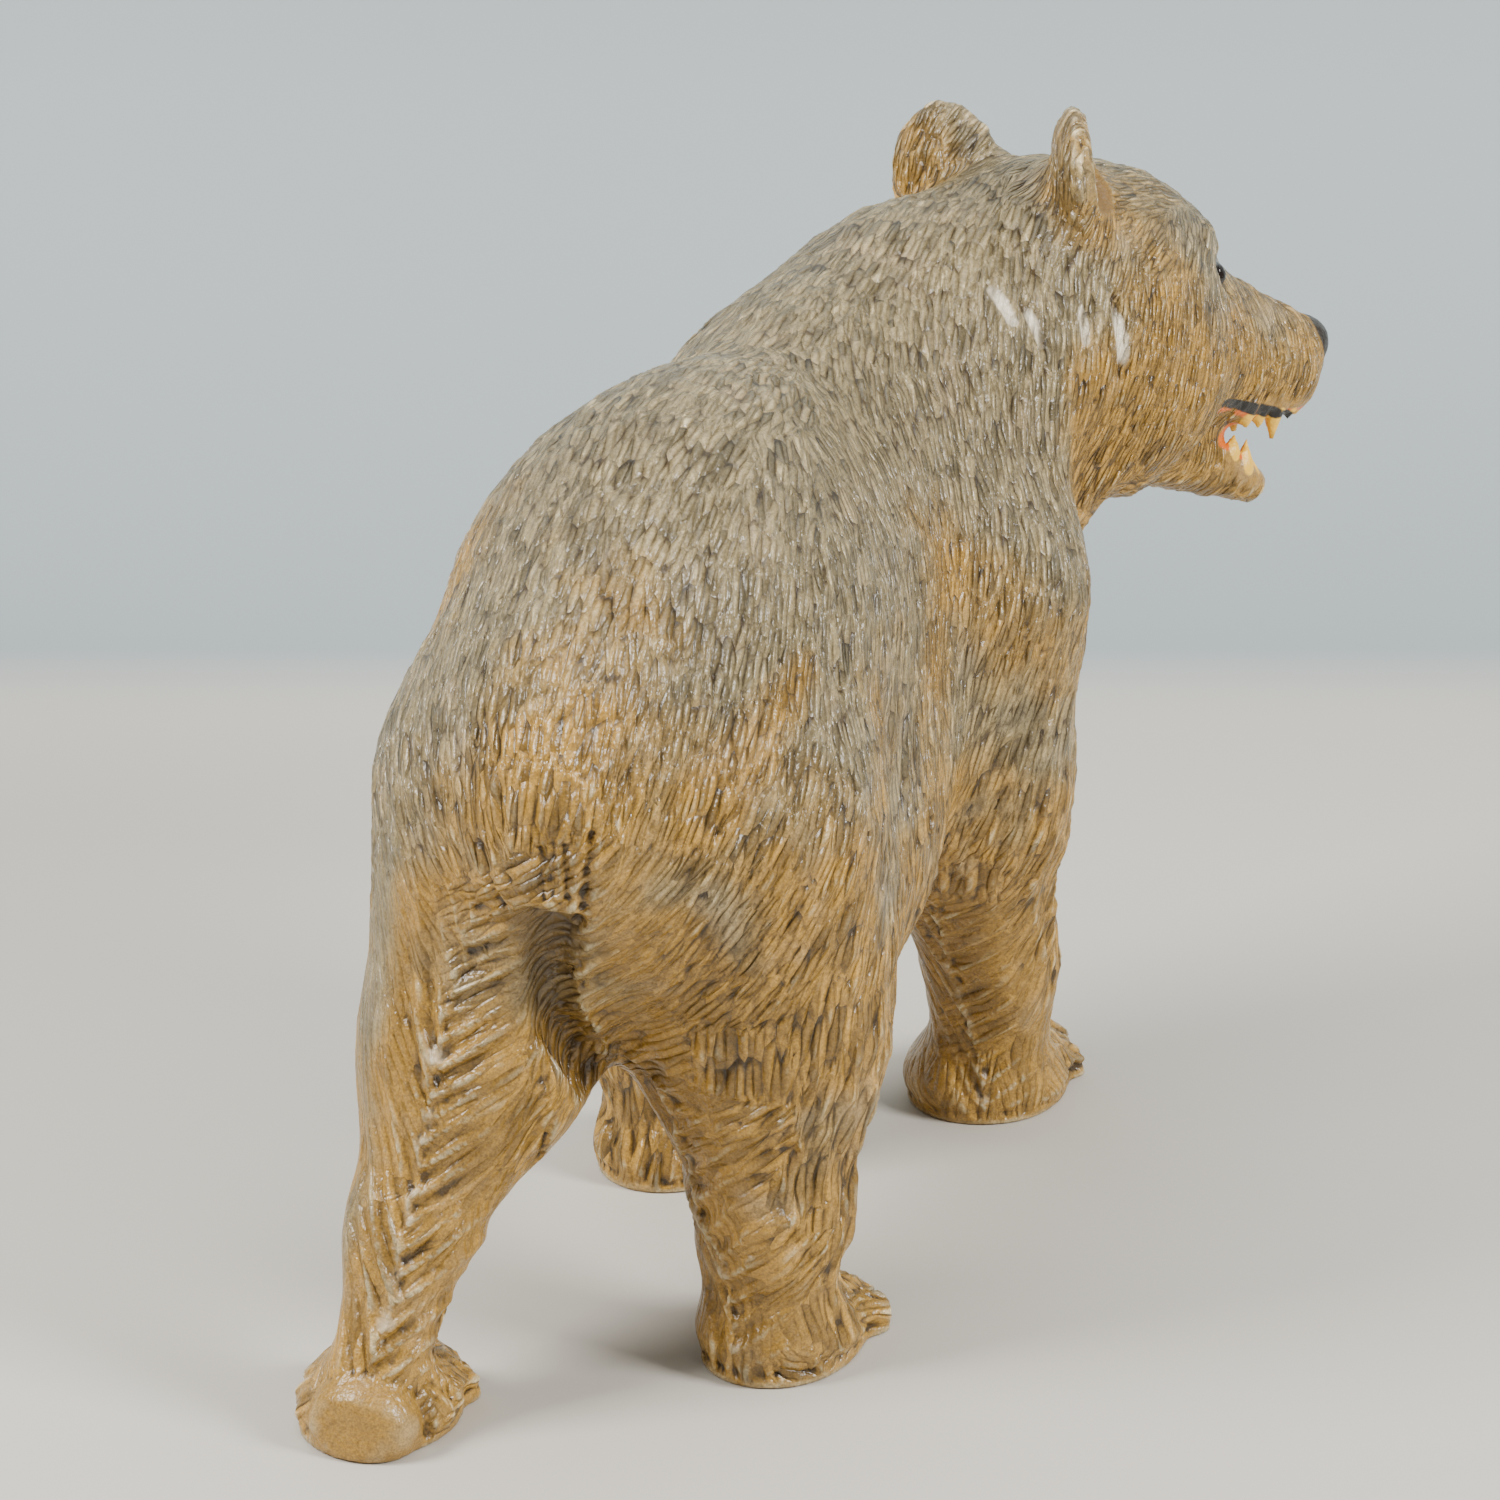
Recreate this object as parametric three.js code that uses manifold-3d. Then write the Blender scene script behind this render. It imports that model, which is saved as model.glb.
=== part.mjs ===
import * as THREE from "three";
import Module from "manifold-3d";

// A walking bear carved from one block of wood, its head turned to its right, its mouth open.
// Millimetres, +Z up. The bear faces -Y and its left side is +X.
// The origin is on the floor below the middle of the whole figure.

// Length of the figure from nose to heel. Every place and radius below is in parts of the carving
// as it was laid out, about 454 parts long, and the finished figure is scaled to this length.
const LENGTH = 420;

// Cell of the grid on which the form is worked out, how far inside a filled grid point counts,
// and the triangles that the figure keeps.
const CELL = 2.5;
const FILL = 0.1;
const TRIANGLES = 9500;

// Box of the carving as it was laid out, with room around it and below the floor.
const ROOM = { low: [-160, -310, -20], high: [110, 200, 365] };

const COLOUR = new THREE.Color(0xa18a62);

// Torso masses: centre and radii, from rump to shoulders, with the hump and the belly.
const TORSO_BLEND = 30;
const RUMP = { at: [0, 82, 190], radii: [51, 71, 70] };
const LOIN = { at: [0, 50, 222], radii: [55, 50, 50] };
const BACK = { at: [0, 12, 202], radii: [63, 98, 87] };
const CHEST = { at: [0, -78, 194], radii: [60, 76, 88] };
const HUMP = { at: [0, -84, 249], radii: [36, 54, 42] };
const BELLY = { at: [0, -10, 146], radii: [63, 80, 52] };
const FLANK = { at: [-40, 22, 128], radii: [24, 40, 30] };

// Nothing of the limbs lies above LIMB_TOP, and nothing of the head and ruff lies behind or below HEAD_FROM.
const LIMB_TOP = 275;
const HEAD_FROM = { y: -90, z: 160 };

// Limbs: left hind, right hind, left fore, right fore; joints from the body down to the ankle,
// each with its radius. A paw's turn is in degrees, and flare widens the leg where it meets the paw.
const LIMB_BLEND = 22;
const LIMBS = [
  {
    joints: [[28, 90, 178, 43], [34, 109, 105, 32], [44, 136, 56, 17], [47, 152, 24, 14]],
    paw: { at: [51, 145, 7], radii: [25, 30, 17], turn: 0 },
    flare: 9,
  },
  {
    joints: [[-32, 74, 170, 44], [-37, 63, 102, 36], [-43, 70, 48, 22], [-42, 72, 12, 19]],
    paw: { at: [-44, 58, 7], radii: [24, 32, 16], turn: -8 },
    flare: 14,
  },
  {
    joints: [[40, -84, 185, 42], [42, -62, 115, 31], [40, -46, 48, 21], [38, -50, 14, 20]],
    paw: { at: [39, -58, 7], radii: [25, 33, 18], turn: 0 },
    flare: 14,
  },
  {
    joints: [[-42, -98, 194, 45], [-44, -102, 125, 35], [-48, -130, 54, 21], [-45, -138, 14, 20]],
    paw: { at: [-41, -152, 7], radii: [28, 37, 18], turn: -8 },
    flare: 16,
  },
];

// Toes: how far they spread, how far they reach from the paw's middle, and their radii.
const TOES = { count: 5, spread: 22, reach: 0.8, radii: [6, 10, 10] };

// Neck: joints from the chest to the skull, each with its radius.
const NECK = [[0, -96, 218, 55], [-20, -142, 254, 50], [-42, -170, 265, 44]];

// The head has its own frame: forward, to its right, up, in millimetres from the skull's middle.
const HEAD_AT = [-48, -185, 285];
const HEAD_YAW = 35;
const HEAD_ROLL = 7;
const SKULL = { at: [-2, 0, -6], radii: [48, 43, 40] };
const FOREHEAD = { at: [27, 0, -7], radii: [33, 33, 31] };
const CHEEK = { at: [10, 23, -38], radii: [36, 23, 36] };
const BROW = { at: [39, 16, 2], radii: [11, 12, 8] };
const MUZZLE = [[38, 0, -36, 31], [92, 0, -48, 18.5]];
const BRIDGE = [[44, 0, -13, 13], [97, 0, -39, 9.5]];
const NOSE = { at: [107.5, 0, -41], radii: [7, 10, 8] };
const NOSTRIL = { at: [113.5, 5, -42], radii: [3, 3, 3] };
const JAW = [[30, 0, -62, 19], [79, 0, -88, 7]];
const PALATE = { at: [80, 0, -68], radii: [23, 12, 9] };
const JAW_HOLLOW = { at: [66, 0, -70], radii: [20, 8, 7] };
const TONGUE = [[52, 0, -70, 6], [74, 0, -79, 4]];
const EYE_SOCKET = { at: [55, 24, -11], radii: [8, 6, 6] };
const EYE = { at: [50, 20, -11], radii: [5, 5, 5] };
const EAR = { at: [-17, 35, 29], radii: [9, 20, 24], turn: 36 };
const EAR_HOLLOW = { at: [-10, 40, 33], radii: [7, 13, 16], turn: 36 };

// Teeth: root and tip along the head, half the spacing across it, and radius at the root.
const TEETH = [
  { root: [97, 5, -61], tip: [97, 5, -66], radius: 3.2 },
  { root: [91, 9, -61], tip: [91, 8.5, -66], radius: 3.2 },
  { root: [83, 10.5, -61], tip: [82, 10, -72], radius: 3.9 },
  { root: [75, 12, -60], tip: [75, 11.5, -67], radius: 3.6 },
  { root: [68, 13.5, -60], tip: [68, 13, -66], radius: 3.4 },
  { root: [77, 4, -84], tip: [77, 4, -77], radius: 2.8 },
  { root: [72, 7, -80], tip: [73, 7, -71], radius: 3.3 },
  { root: [65, 9, -74], tip: [66, 9, -68], radius: 3 },
];

// Tail, the hollow below it and the groove that runs down between the haunches.
const TAIL = { at: [-4, 144, 185], radii: [19, 10, 24] };
const TAIL_HOLLOW = { at: [-5, 153, 156], radii: [15, 10, 9] };
const GROOVE = [
  [-5, 145, 158, 7], [1, 131, 137.5, 5], [3, 124, 122.5, 4.5], [1.5, 114, 109, 4.5], [0.5, 105, 98, 4],
];

// The smooth heel pad that faces back on the lifted left hind foot.
const HEEL_PAD = { at: [47, 164, 8], radii: [16, 12, 14] };

// Ruff: pointed locks that lie along the throat and the cheeks.
const RUFF = [
  [[-70, -184, 232, 12], [-76, -176, 214, 5]],
  [[-58, -186, 226, 13], [-62, -176, 206, 5]],
  [[-44, -188, 222, 14], [-42, -174, 200, 6]],
  [[-30, -180, 222, 14], [-24, -166, 200, 6]],
  [[-62, -158, 218, 14], [-60, -148, 194, 6]],
  [[-12, -160, 222, 14], [-6, -150, 198, 6]],
];

// Gouge cuts that show from a step away: length, width and depth on each part.
const BODY_CUT = [26, 10, 1.5];
const LEG_CUT = [24, 7.5, 1.7];
const PAW_CUT = [22, 8, 1.8];
const HEAD_CUT = [15, 7.5, 1];
const CUT_SPACING = 0.6;

// The chipped ridges that run down the backs of three legs; the cuts on them meet in herringbone.
const RIDGES = [
  [[19, 145, 164], [31, 141, 125], [36, 148, 88], [40, 160, 46], [46, 160, 20]],
  [[-18, 84, 90], [-23, 87, 57], [-33, 93, 41], [-38, 95, 10]],
  [[-42, -79, 92], [-41, -98, 66], [-44, -108, 45], [-51, -114, 7]],
];

const DEGREE = Math.PI / 180;

// Shortest distance to an ellipsoid, exact on its surface; negative inside.
function ellipsoid(part, side = 1) {
  const [rx, ry, rz] = part.radii;
  const turn = (part.turn || 0) * DEGREE * side;
  const c = Math.cos(turn);
  const s = Math.sin(turn);
  const ax = part.at[0];
  const ay = part.at[1] * side;
  const az = part.at[2];
  return (x, y, z) => {
    const dx = x - ax;
    const dy = y - ay;
    const px = (c * dx + s * dy) / rx;
    const py = (c * dy - s * dx) / ry;
    const pz = (z - az) / rz;
    const near = Math.sqrt(px * px + py * py + pz * pz);
    const slope = Math.sqrt((px / rx) ** 2 + (py / ry) ** 2 + (pz / rz) ** 2);
    return slope > 1e-9 ? (near * (near - 1)) / slope : -Math.min(rx, ry, rz);
  };
}

// Shortest distance to a round-ended cone between two joints.
function cone(a, b) {
  const bx = b[0] - a[0];
  const by = b[1] - a[1];
  const bz = b[2] - a[2];
  const length2 = bx * bx + by * by + bz * bz;
  const taper = a[3] - b[3];
  const flank2 = length2 - taper * taper;
  const inverse = 1 / length2;
  return (x, y, z) => {
    const px = x - a[0];
    const py = y - a[1];
    const pz = z - a[2];
    const along = px * bx + py * by + pz * bz;
    const beyond = along - length2;
    const ux = px * length2 - bx * along;
    const uy = py * length2 - by * along;
    const uz = pz * length2 - bz * along;
    const off2 = ux * ux + uy * uy + uz * uz;
    const limit = Math.sign(taper) * taper * taper * off2;
    if (Math.sign(beyond) * flank2 * beyond * beyond * length2 > limit) {
      return Math.sqrt(off2 + beyond * beyond * length2) * inverse - b[3];
    }
    if (Math.sign(along) * flank2 * along * along * length2 < limit) {
      return Math.sqrt(off2 + along * along * length2) * inverse - a[3];
    }
    return (Math.sqrt(off2 * flank2 * inverse) + along * taper) * inverse - a[3];
  };
}

// Joins two distances with a fillet of about the given width; carve cuts the second from the first.
function blend(a, b, width) {
  const h = Math.max(width - Math.abs(a - b), 0) / width;
  return Math.min(a, b) - h * h * width * 0.25;
}

function carve(a, b, width) {
  return -blend(-a, b, width);
}

// The toes of a paw, fanned about its middle.
function toesOf({ at, radii, turn }) {
  const toes = [];
  for (let i = 0; i < TOES.count; i += 1) {
    const angle = (i - (TOES.count - 1) / 2) * TOES.spread;
    const away = (turn + angle) * DEGREE;
    const reach = Math.hypot(radii[0] * Math.sin(angle * DEGREE), radii[1] * Math.cos(angle * DEGREE));
    const x = at[0] + Math.sin(away) * reach * TOES.reach;
    const y = at[1] - Math.cos(away) * reach * TOES.reach;
    toes.push(ellipsoid({ at: [x, y, 5], radii: TOES.radii, turn: turn + angle }));
  }
  return toes;
}

const torso = [RUMP, LOIN, BACK, CHEST, HUMP, BELLY, FLANK].map((part) => ellipsoid(part));
const neck = NECK.slice(1).map((joint, i) => cone(NECK[i], joint));
const limbs = LIMBS.map((limb) => ({
  bones: limb.joints.slice(1).map((joint, i) => cone(limb.joints[i], joint)),
  paw: ellipsoid(limb.paw),
  toes: toesOf(limb.paw),
  flare: limb.flare,
}));
const tail = ellipsoid(TAIL);
const tailHollow = ellipsoid(TAIL_HOLLOW);
const groove = GROOVE.slice(1).map((joint, i) => cone(GROOVE[i], joint));
const heelPad = ellipsoid(HEEL_PAD);
const ruff = RUFF.map(([a, b]) => cone(a, b));

const SIDES = [1, -1];
const skull = [SKULL, FOREHEAD].map((part) => ellipsoid(part));
const cheeks = SIDES.map((side) => ellipsoid(CHEEK, side));
const brows = SIDES.map((side) => ellipsoid(BROW, side));
const muzzle = cone(MUZZLE[0], MUZZLE[1]);
const bridge = cone(BRIDGE[0], BRIDGE[1]);
const nose = ellipsoid(NOSE);
const nostrils = SIDES.map((side) => ellipsoid(NOSTRIL, side));
const jaw = cone(JAW[0], JAW[1]);
const palate = ellipsoid(PALATE);
const jawHollow = ellipsoid(JAW_HOLLOW);
const tongue = cone(TONGUE[0], TONGUE[1]);
const sockets = SIDES.map((side) => ellipsoid(EYE_SOCKET, side));
const eyes = SIDES.map((side) => ellipsoid(EYE, side));
const ears = SIDES.map((side) => ellipsoid(EAR, side));
const earHollows = SIDES.map((side) => ellipsoid(EAR_HOLLOW, side));
const teeth = SIDES.flatMap((side) => TEETH.map(({ root, tip, radius }) => cone(
  [root[0], root[1] * side, root[2], radius],
  [tip[0], tip[1] * side, tip[2], 0.6],
)));

const YAW_COS = Math.cos(HEAD_YAW * DEGREE);
const YAW_SIN = Math.sin(HEAD_YAW * DEGREE);
const ROLL_COS = Math.cos(HEAD_ROLL * DEGREE);
const ROLL_SIN = Math.sin(HEAD_ROLL * DEGREE);

// A point of the figure in the head's frame: forward, to its right, up.
function inHead(x, y, z) {
  const dx = x - HEAD_AT[0];
  const dy = y - HEAD_AT[1];
  const dz = z - HEAD_AT[2];
  const right = dy * YAW_SIN - dx * YAW_COS;
  return [
    -dx * YAW_SIN - dy * YAW_COS,
    right * ROLL_COS + dz * ROLL_SIN,
    dz * ROLL_COS - right * ROLL_SIN,
  ];
}

// Distance to the head: skull, muzzle and jaw first, then the hollows, then what stands in them.
function headForm(f, s, u) {
  let d = blend(skull[0](f, s, u), skull[1](f, s, u), 14);
  for (const cheek of cheeks) d = blend(d, cheek(f, s, u), 20);
  d = blend(d, muzzle(f, s, u), 16);
  d = blend(d, bridge(f, s, u), 10);
  for (const brow of brows) d = blend(d, brow(f, s, u), 8);
  d = blend(d, jaw(f, s, u), 7);
  d = blend(d, nose(f, s, u), 4);
  d = carve(d, palate(f, s, u), 2);
  d = carve(d, jawHollow(f, s, u), 2);
  d = blend(d, tongue(f, s, u), 2);
  for (const tooth of teeth) d = blend(d, tooth(f, s, u), 1);
  for (const socket of sockets) d = carve(d, socket(f, s, u), 5);
  for (const eye of eyes) d = blend(d, eye(f, s, u), 1);
  for (const nostril of nostrils) d = carve(d, nostril(f, s, u), 1);
  for (const ear of ears) d = blend(d, ear(f, s, u), 14);
  for (const hollow of earHollows) d = carve(d, hollow(f, s, u), 3);
  return d;
}

// Distance to the whole figure; the paws run on below the floor, where they are cut flat later.
function form(x, y, z) {
  let d = torso[0](x, y, z);
  for (let i = 1; i < torso.length; i += 1) d = blend(d, torso[i](x, y, z), TORSO_BLEND);
  for (const bone of neck) d = blend(d, bone(x, y, z), TORSO_BLEND);
  if (z < LIMB_TOP) {
    for (const limb of limbs) {
      let leg = blend(limb.bones[0](x, y, z), limb.bones[1](x, y, z), 14);
      leg = blend(leg, limb.bones[2](x, y, z), 12);
      leg = blend(leg, limb.paw(x, y, z), limb.flare);
      if (z < 30) for (const toe of limb.toes) leg = blend(leg, toe(x, y, z), 2.5);
      d = blend(d, leg, LIMB_BLEND);
    }
    d = blend(d, heelPad(x, y, z), 2);
    d = blend(d, tail(x, y, z), 12);
    d = carve(d, tailHollow(x, y, z), 5);
    d = carve(d, Math.min(...groove.map((run) => run(x, y, z))), 6);
  }
  if (y < HEAD_FROM.y && z > HEAD_FROM.z) {
    for (const lock of ruff) d = blend(d, lock(x, y, z), 9);
    const [f, s, u] = inHead(x, y, z);
    d = blend(d, headForm(f, s, u), 16);
  }
  return d;
}

// Outward direction of the form at a point, from differences over a short step.
function outward(x, y, z, step = 1.5) {
  const n = [
    form(x + step, y, z) - form(x - step, y, z),
    form(x, y + step, z) - form(x, y - step, z),
    form(x, y, z + step) - form(x, y, z - step),
  ];
  const length = Math.hypot(n[0], n[1], n[2]) || 1;
  return [n[0] / length, n[1] / length, n[2] / length];
}

// How much of a cut a point takes: none on the soles, heel pad, eyes, nose, mouth and ear hollows.
function cutShare(x, y, z) {
  if (z < 1.5) return 0;
  let share = Math.min(1, heelPad(x, y, z) / 3);
  if (y < -120 && z > 190) {
    const [f, s, u] = inHead(x, y, z);
    const across = Math.abs(s);
    share = Math.min(share, ears[0](f, across, u) / 4 + 0.35);
    share = Math.min(share, eyes[0](f, across, u) / 4, nose(f, s, u) / 4, (112 - f) / 8);
    const mouth = Math.hypot(Math.max(56 - f, 0), Math.max(-88 - u, 0, u + 58));
    share = Math.min(share, mouth / 4);
  }
  return Math.max(0, share);
}

// Which way the hair lies at a point of the surface, and which cut is used there.
function lieOf(p, n) {
  const [x, y, z] = p;
  if (y < -150 || (y < -118 && z > 240)) {
    const [f, , u] = inHead(x, y, z);
    if (f > -30 && u > -75) {
      const steep = f > 60 ? 1.6 : 0.55;
      return { lie: [YAW_SIN, YAW_COS, -steep], cut: HEAD_CUT };
    }
  }
  if (z < 26) {
    for (const { paw, joints } of LIMBS) {
      const dx = x - joints[3][0];
      const dy = y - joints[3][1];
      if (Math.hypot(x - paw.at[0], y - paw.at[1]) < 48) return { lie: [dx, dy, -9], cut: PAW_CUT };
    }
  }
  for (const ridge of RIDGES) {
    for (let i = 1; i < ridge.length; i += 1) {
      const a = ridge[i - 1];
      const b = ridge[i];
      const t = Math.min(1, Math.max(0, (z - a[2]) / (b[2] - a[2])));
      const dx = x - a[0] - t * (b[0] - a[0]);
      const dy = y - a[1] - t * (b[1] - a[1]);
      if (z <= a[2] && z >= b[2] && Math.hypot(dx, dy) < 34 && n[1] > -0.1) {
        const inner = dx * Math.sign(ridge[1][0]) < 0;
        return { lie: inner ? [-Math.sign(dx), 0, -0.45] : [Math.sign(dx), 0, -1.1], cut: LEG_CUT };
      }
    }
  }
  if (z < 120) return { lie: [0, 0.15, -1], cut: LEG_CUT };
  const steep = Math.min(1, Math.abs(n[0]) * 1.1);
  return { lie: [0, 1 - 0.7 * steep, -0.15 - 0.85 * steep], cut: BODY_CUT };
}

// Where four grid points round a square are inside and outside by turns, the two outside are filled,
// so that no two parts of the surface share only an edge.
function fillCorners(values, strides) {
  const end = values.length - strides[1] - strides[2] - 1;
  for (let filled = true; filled;) {
    filled = false;
    for (let base = 0; base < end; base += 1) {
      for (let axis = 0; axis < 3; axis += 1) {
        const u = strides[axis];
        const v = strides[(axis + 1) % 3];
        const first = values[base] < 0;
        const second = values[base + u] < 0;
        const third = values[base + v] < 0;
        const fourth = values[base + u + v] < 0;
        if (first === second || first === third || first !== fourth) continue;
        const outside = first ? [base + u, base + v] : [base, base + u + v];
        for (const corner of outside) values[corner] = -FILL;
        filled = true;
      }
    }
  }
}

// The surface of the form on a grid of cells: one vertex per cell that it crosses, one quad per edge.
function surface(low, high) {
  const [nx, ny, nz] = low.map((v, i) => Math.ceil((high[i] - v) / CELL) + 1);
  const strides = [1, nx, nx * ny];
  const values = new Float32Array(nx * ny * nz);
  const block = 6;
  const half = (block / 2) * CELL;
  const at = (i, axis) => low[axis] + i * CELL;
  for (let k0 = 0; k0 < nz; k0 += block) {
    for (let j0 = 0; j0 < ny; j0 += block) {
      for (let i0 = 0; i0 < nx; i0 += block) {
        const middle = form(at(i0, 0) + half, at(j0, 1) + half, at(k0, 2) + half);
        const far = Math.abs(middle) > half * 2.4 + 4;
        for (let k = k0; k < Math.min(k0 + block, nz); k += 1) {
          for (let j = j0; j < Math.min(j0 + block, ny); j += 1) {
            for (let i = i0; i < Math.min(i0 + block, nx); i += 1) {
              values[i + j * nx + k * nx * ny] = far ? middle : form(at(i, 0), at(j, 1), at(k, 2));
            }
          }
        }
      }
    }
  }
  fillCorners(values, strides);
  const corners = [0, 1, 2, 3, 4, 5, 6, 7];
  const step = corners.map((c) => (c & 1) * strides[0] + ((c >> 1) & 1) * strides[1] + (c >> 2) * strides[2]);
  const edges = corners.flatMap((c) => [1, 2, 4].filter((bit) => !(c & bit)).map((bit) => [c, c | bit]));
  const cell = new Int32Array(values.length).fill(-1);
  const points = [];
  for (let k = 0; k < nz - 1; k += 1) {
    for (let j = 0; j < ny - 1; j += 1) {
      for (let i = 0; i < nx - 1; i += 1) {
        const base = i + j * nx + k * nx * ny;
        let count = 0;
        const sum = [0, 0, 0];
        for (const [a, b] of edges) {
          const va = values[base + step[a]];
          const vb = values[base + step[b]];
          if (va < 0 === vb < 0) continue;
          const t = va / (va - vb);
          for (let axis = 0; axis < 3; axis += 1) {
            const from = (a >> axis) & 1;
            sum[axis] += from + t * (((b >> axis) & 1) - from);
          }
          count += 1;
        }
        if (count === 0) continue;
        cell[base] = points.length;
        points.push([at(i + sum[0] / count, 0), at(j + sum[1] / count, 1), at(k + sum[2] / count, 2)]);
      }
    }
  }
  const faces = [];
  for (let base = strides[2] + nx + 1; base < values.length; base += 1) {
    for (let axis = 0; axis < 3; axis += 1) {
      const inside = values[base] < 0;
      const next = base + strides[axis];
      if (next >= values.length || inside === values[next] < 0) continue;
      const u = strides[(axis + 1) % 3];
      const v = strides[(axis + 2) % 3];
      const quad = [cell[base], cell[base - u], cell[base - u - v], cell[base - v]];
      if (!inside) quad.reverse();
      faces.push([quad[0], quad[1], quad[2]], [quad[0], quad[2], quad[3]]);
    }
  }
  return { points, faces };
}

// A key for the box of the given size that holds a point, offset by whole boxes.
function boxKey(p, size, i = 0, j = 0, k = 0) {
  const a = Math.floor(p[0] / size) + i;
  const b = Math.floor(p[1] / size) + j;
  const c = Math.floor(p[2] / size) + k;
  return (a + 512) + 1024 * (b + 512) + 1048576 * (c + 512);
}

// Calls visit for every item of the boxes around a point.
function around(boxes, p, size, visit) {
  for (let i = -1; i <= 1; i += 1) {
    for (let j = -1; j <= 1; j += 1) {
      for (let k = -1; k <= 1; k += 1) {
        for (const item of boxes.get(boxKey(p, size, i, j, k)) || []) visit(item);
      }
    }
  }
}

// Place of a point in a cut, as shares of its half length and half width.
function inCut(p, cut) {
  const d = [p[0] - cut.at[0], p[1] - cut.at[1], p[2] - cut.at[2]];
  const dot = (v) => d[0] * v[0] + d[1] * v[1] + d[2] * v[2];
  return [dot(cut.along) / (cut.size[0] / 2), dot(cut.across) / (cut.size[1] / 2), dot(cut.out)];
}

// Gouge cuts spread over the surface, none closer to another than a share of its own size.
function spreadCuts(points, normals) {
  const size = BODY_CUT[0] / 2 + 1;
  const boxes = new Map();
  for (let step = 0, i = 0; step < points.length; step += 1) {
    i = (i + 7919) % points.length;
    const n = normals[i];
    const { lie, cut } = lieOf(points[i], n);
    const dot = lie[0] * n[0] + lie[1] * n[1] + lie[2] * n[2];
    const flat = [lie[0] - dot * n[0], lie[1] - dot * n[1], lie[2] - dot * n[2]];
    const length = Math.hypot(...flat);
    if (length < 1e-3) continue;
    const along = flat.map((v) => v / length);
    const across = [
      n[1] * along[2] - n[2] * along[1],
      n[2] * along[0] - n[0] * along[2],
      n[0] * along[1] - n[1] * along[0],
    ];
    const fresh = { at: points[i], along, across, out: n, size: cut };
    let clear = true;
    around(boxes, points[i], size, (other) => {
      const [a, b, c] = inCut(points[i], other);
      if (Math.hypot(a, b) < 2 * CUT_SPACING && Math.abs(c) < cut[1]) clear = false;
    });
    if (!clear) continue;
    const key = boxKey(points[i], size);
    if (!boxes.has(key)) boxes.set(key, []);
    boxes.get(key).push(fresh);
  }
  return { boxes, size };
}

// Sinks the surface along its normals wherever a gouge has passed; the deepest cut wins.
function gouge(points, normals) {
  const { boxes, size } = spreadCuts(points, normals);
  return points.map((p, i) => {
    let depth = 0;
    around(boxes, p, size, (cut) => {
      const [a, b, c] = inCut(p, cut);
      if (Math.abs(c) < cut.size[1]) depth = Math.max(depth, cut.size[2] * (1 - a * a - b * b));
    });
    depth *= cutShare(p[0], p[1], p[2]);
    return p.map((v, axis) => v - normals[i][axis] * depth);
  });
}

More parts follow.
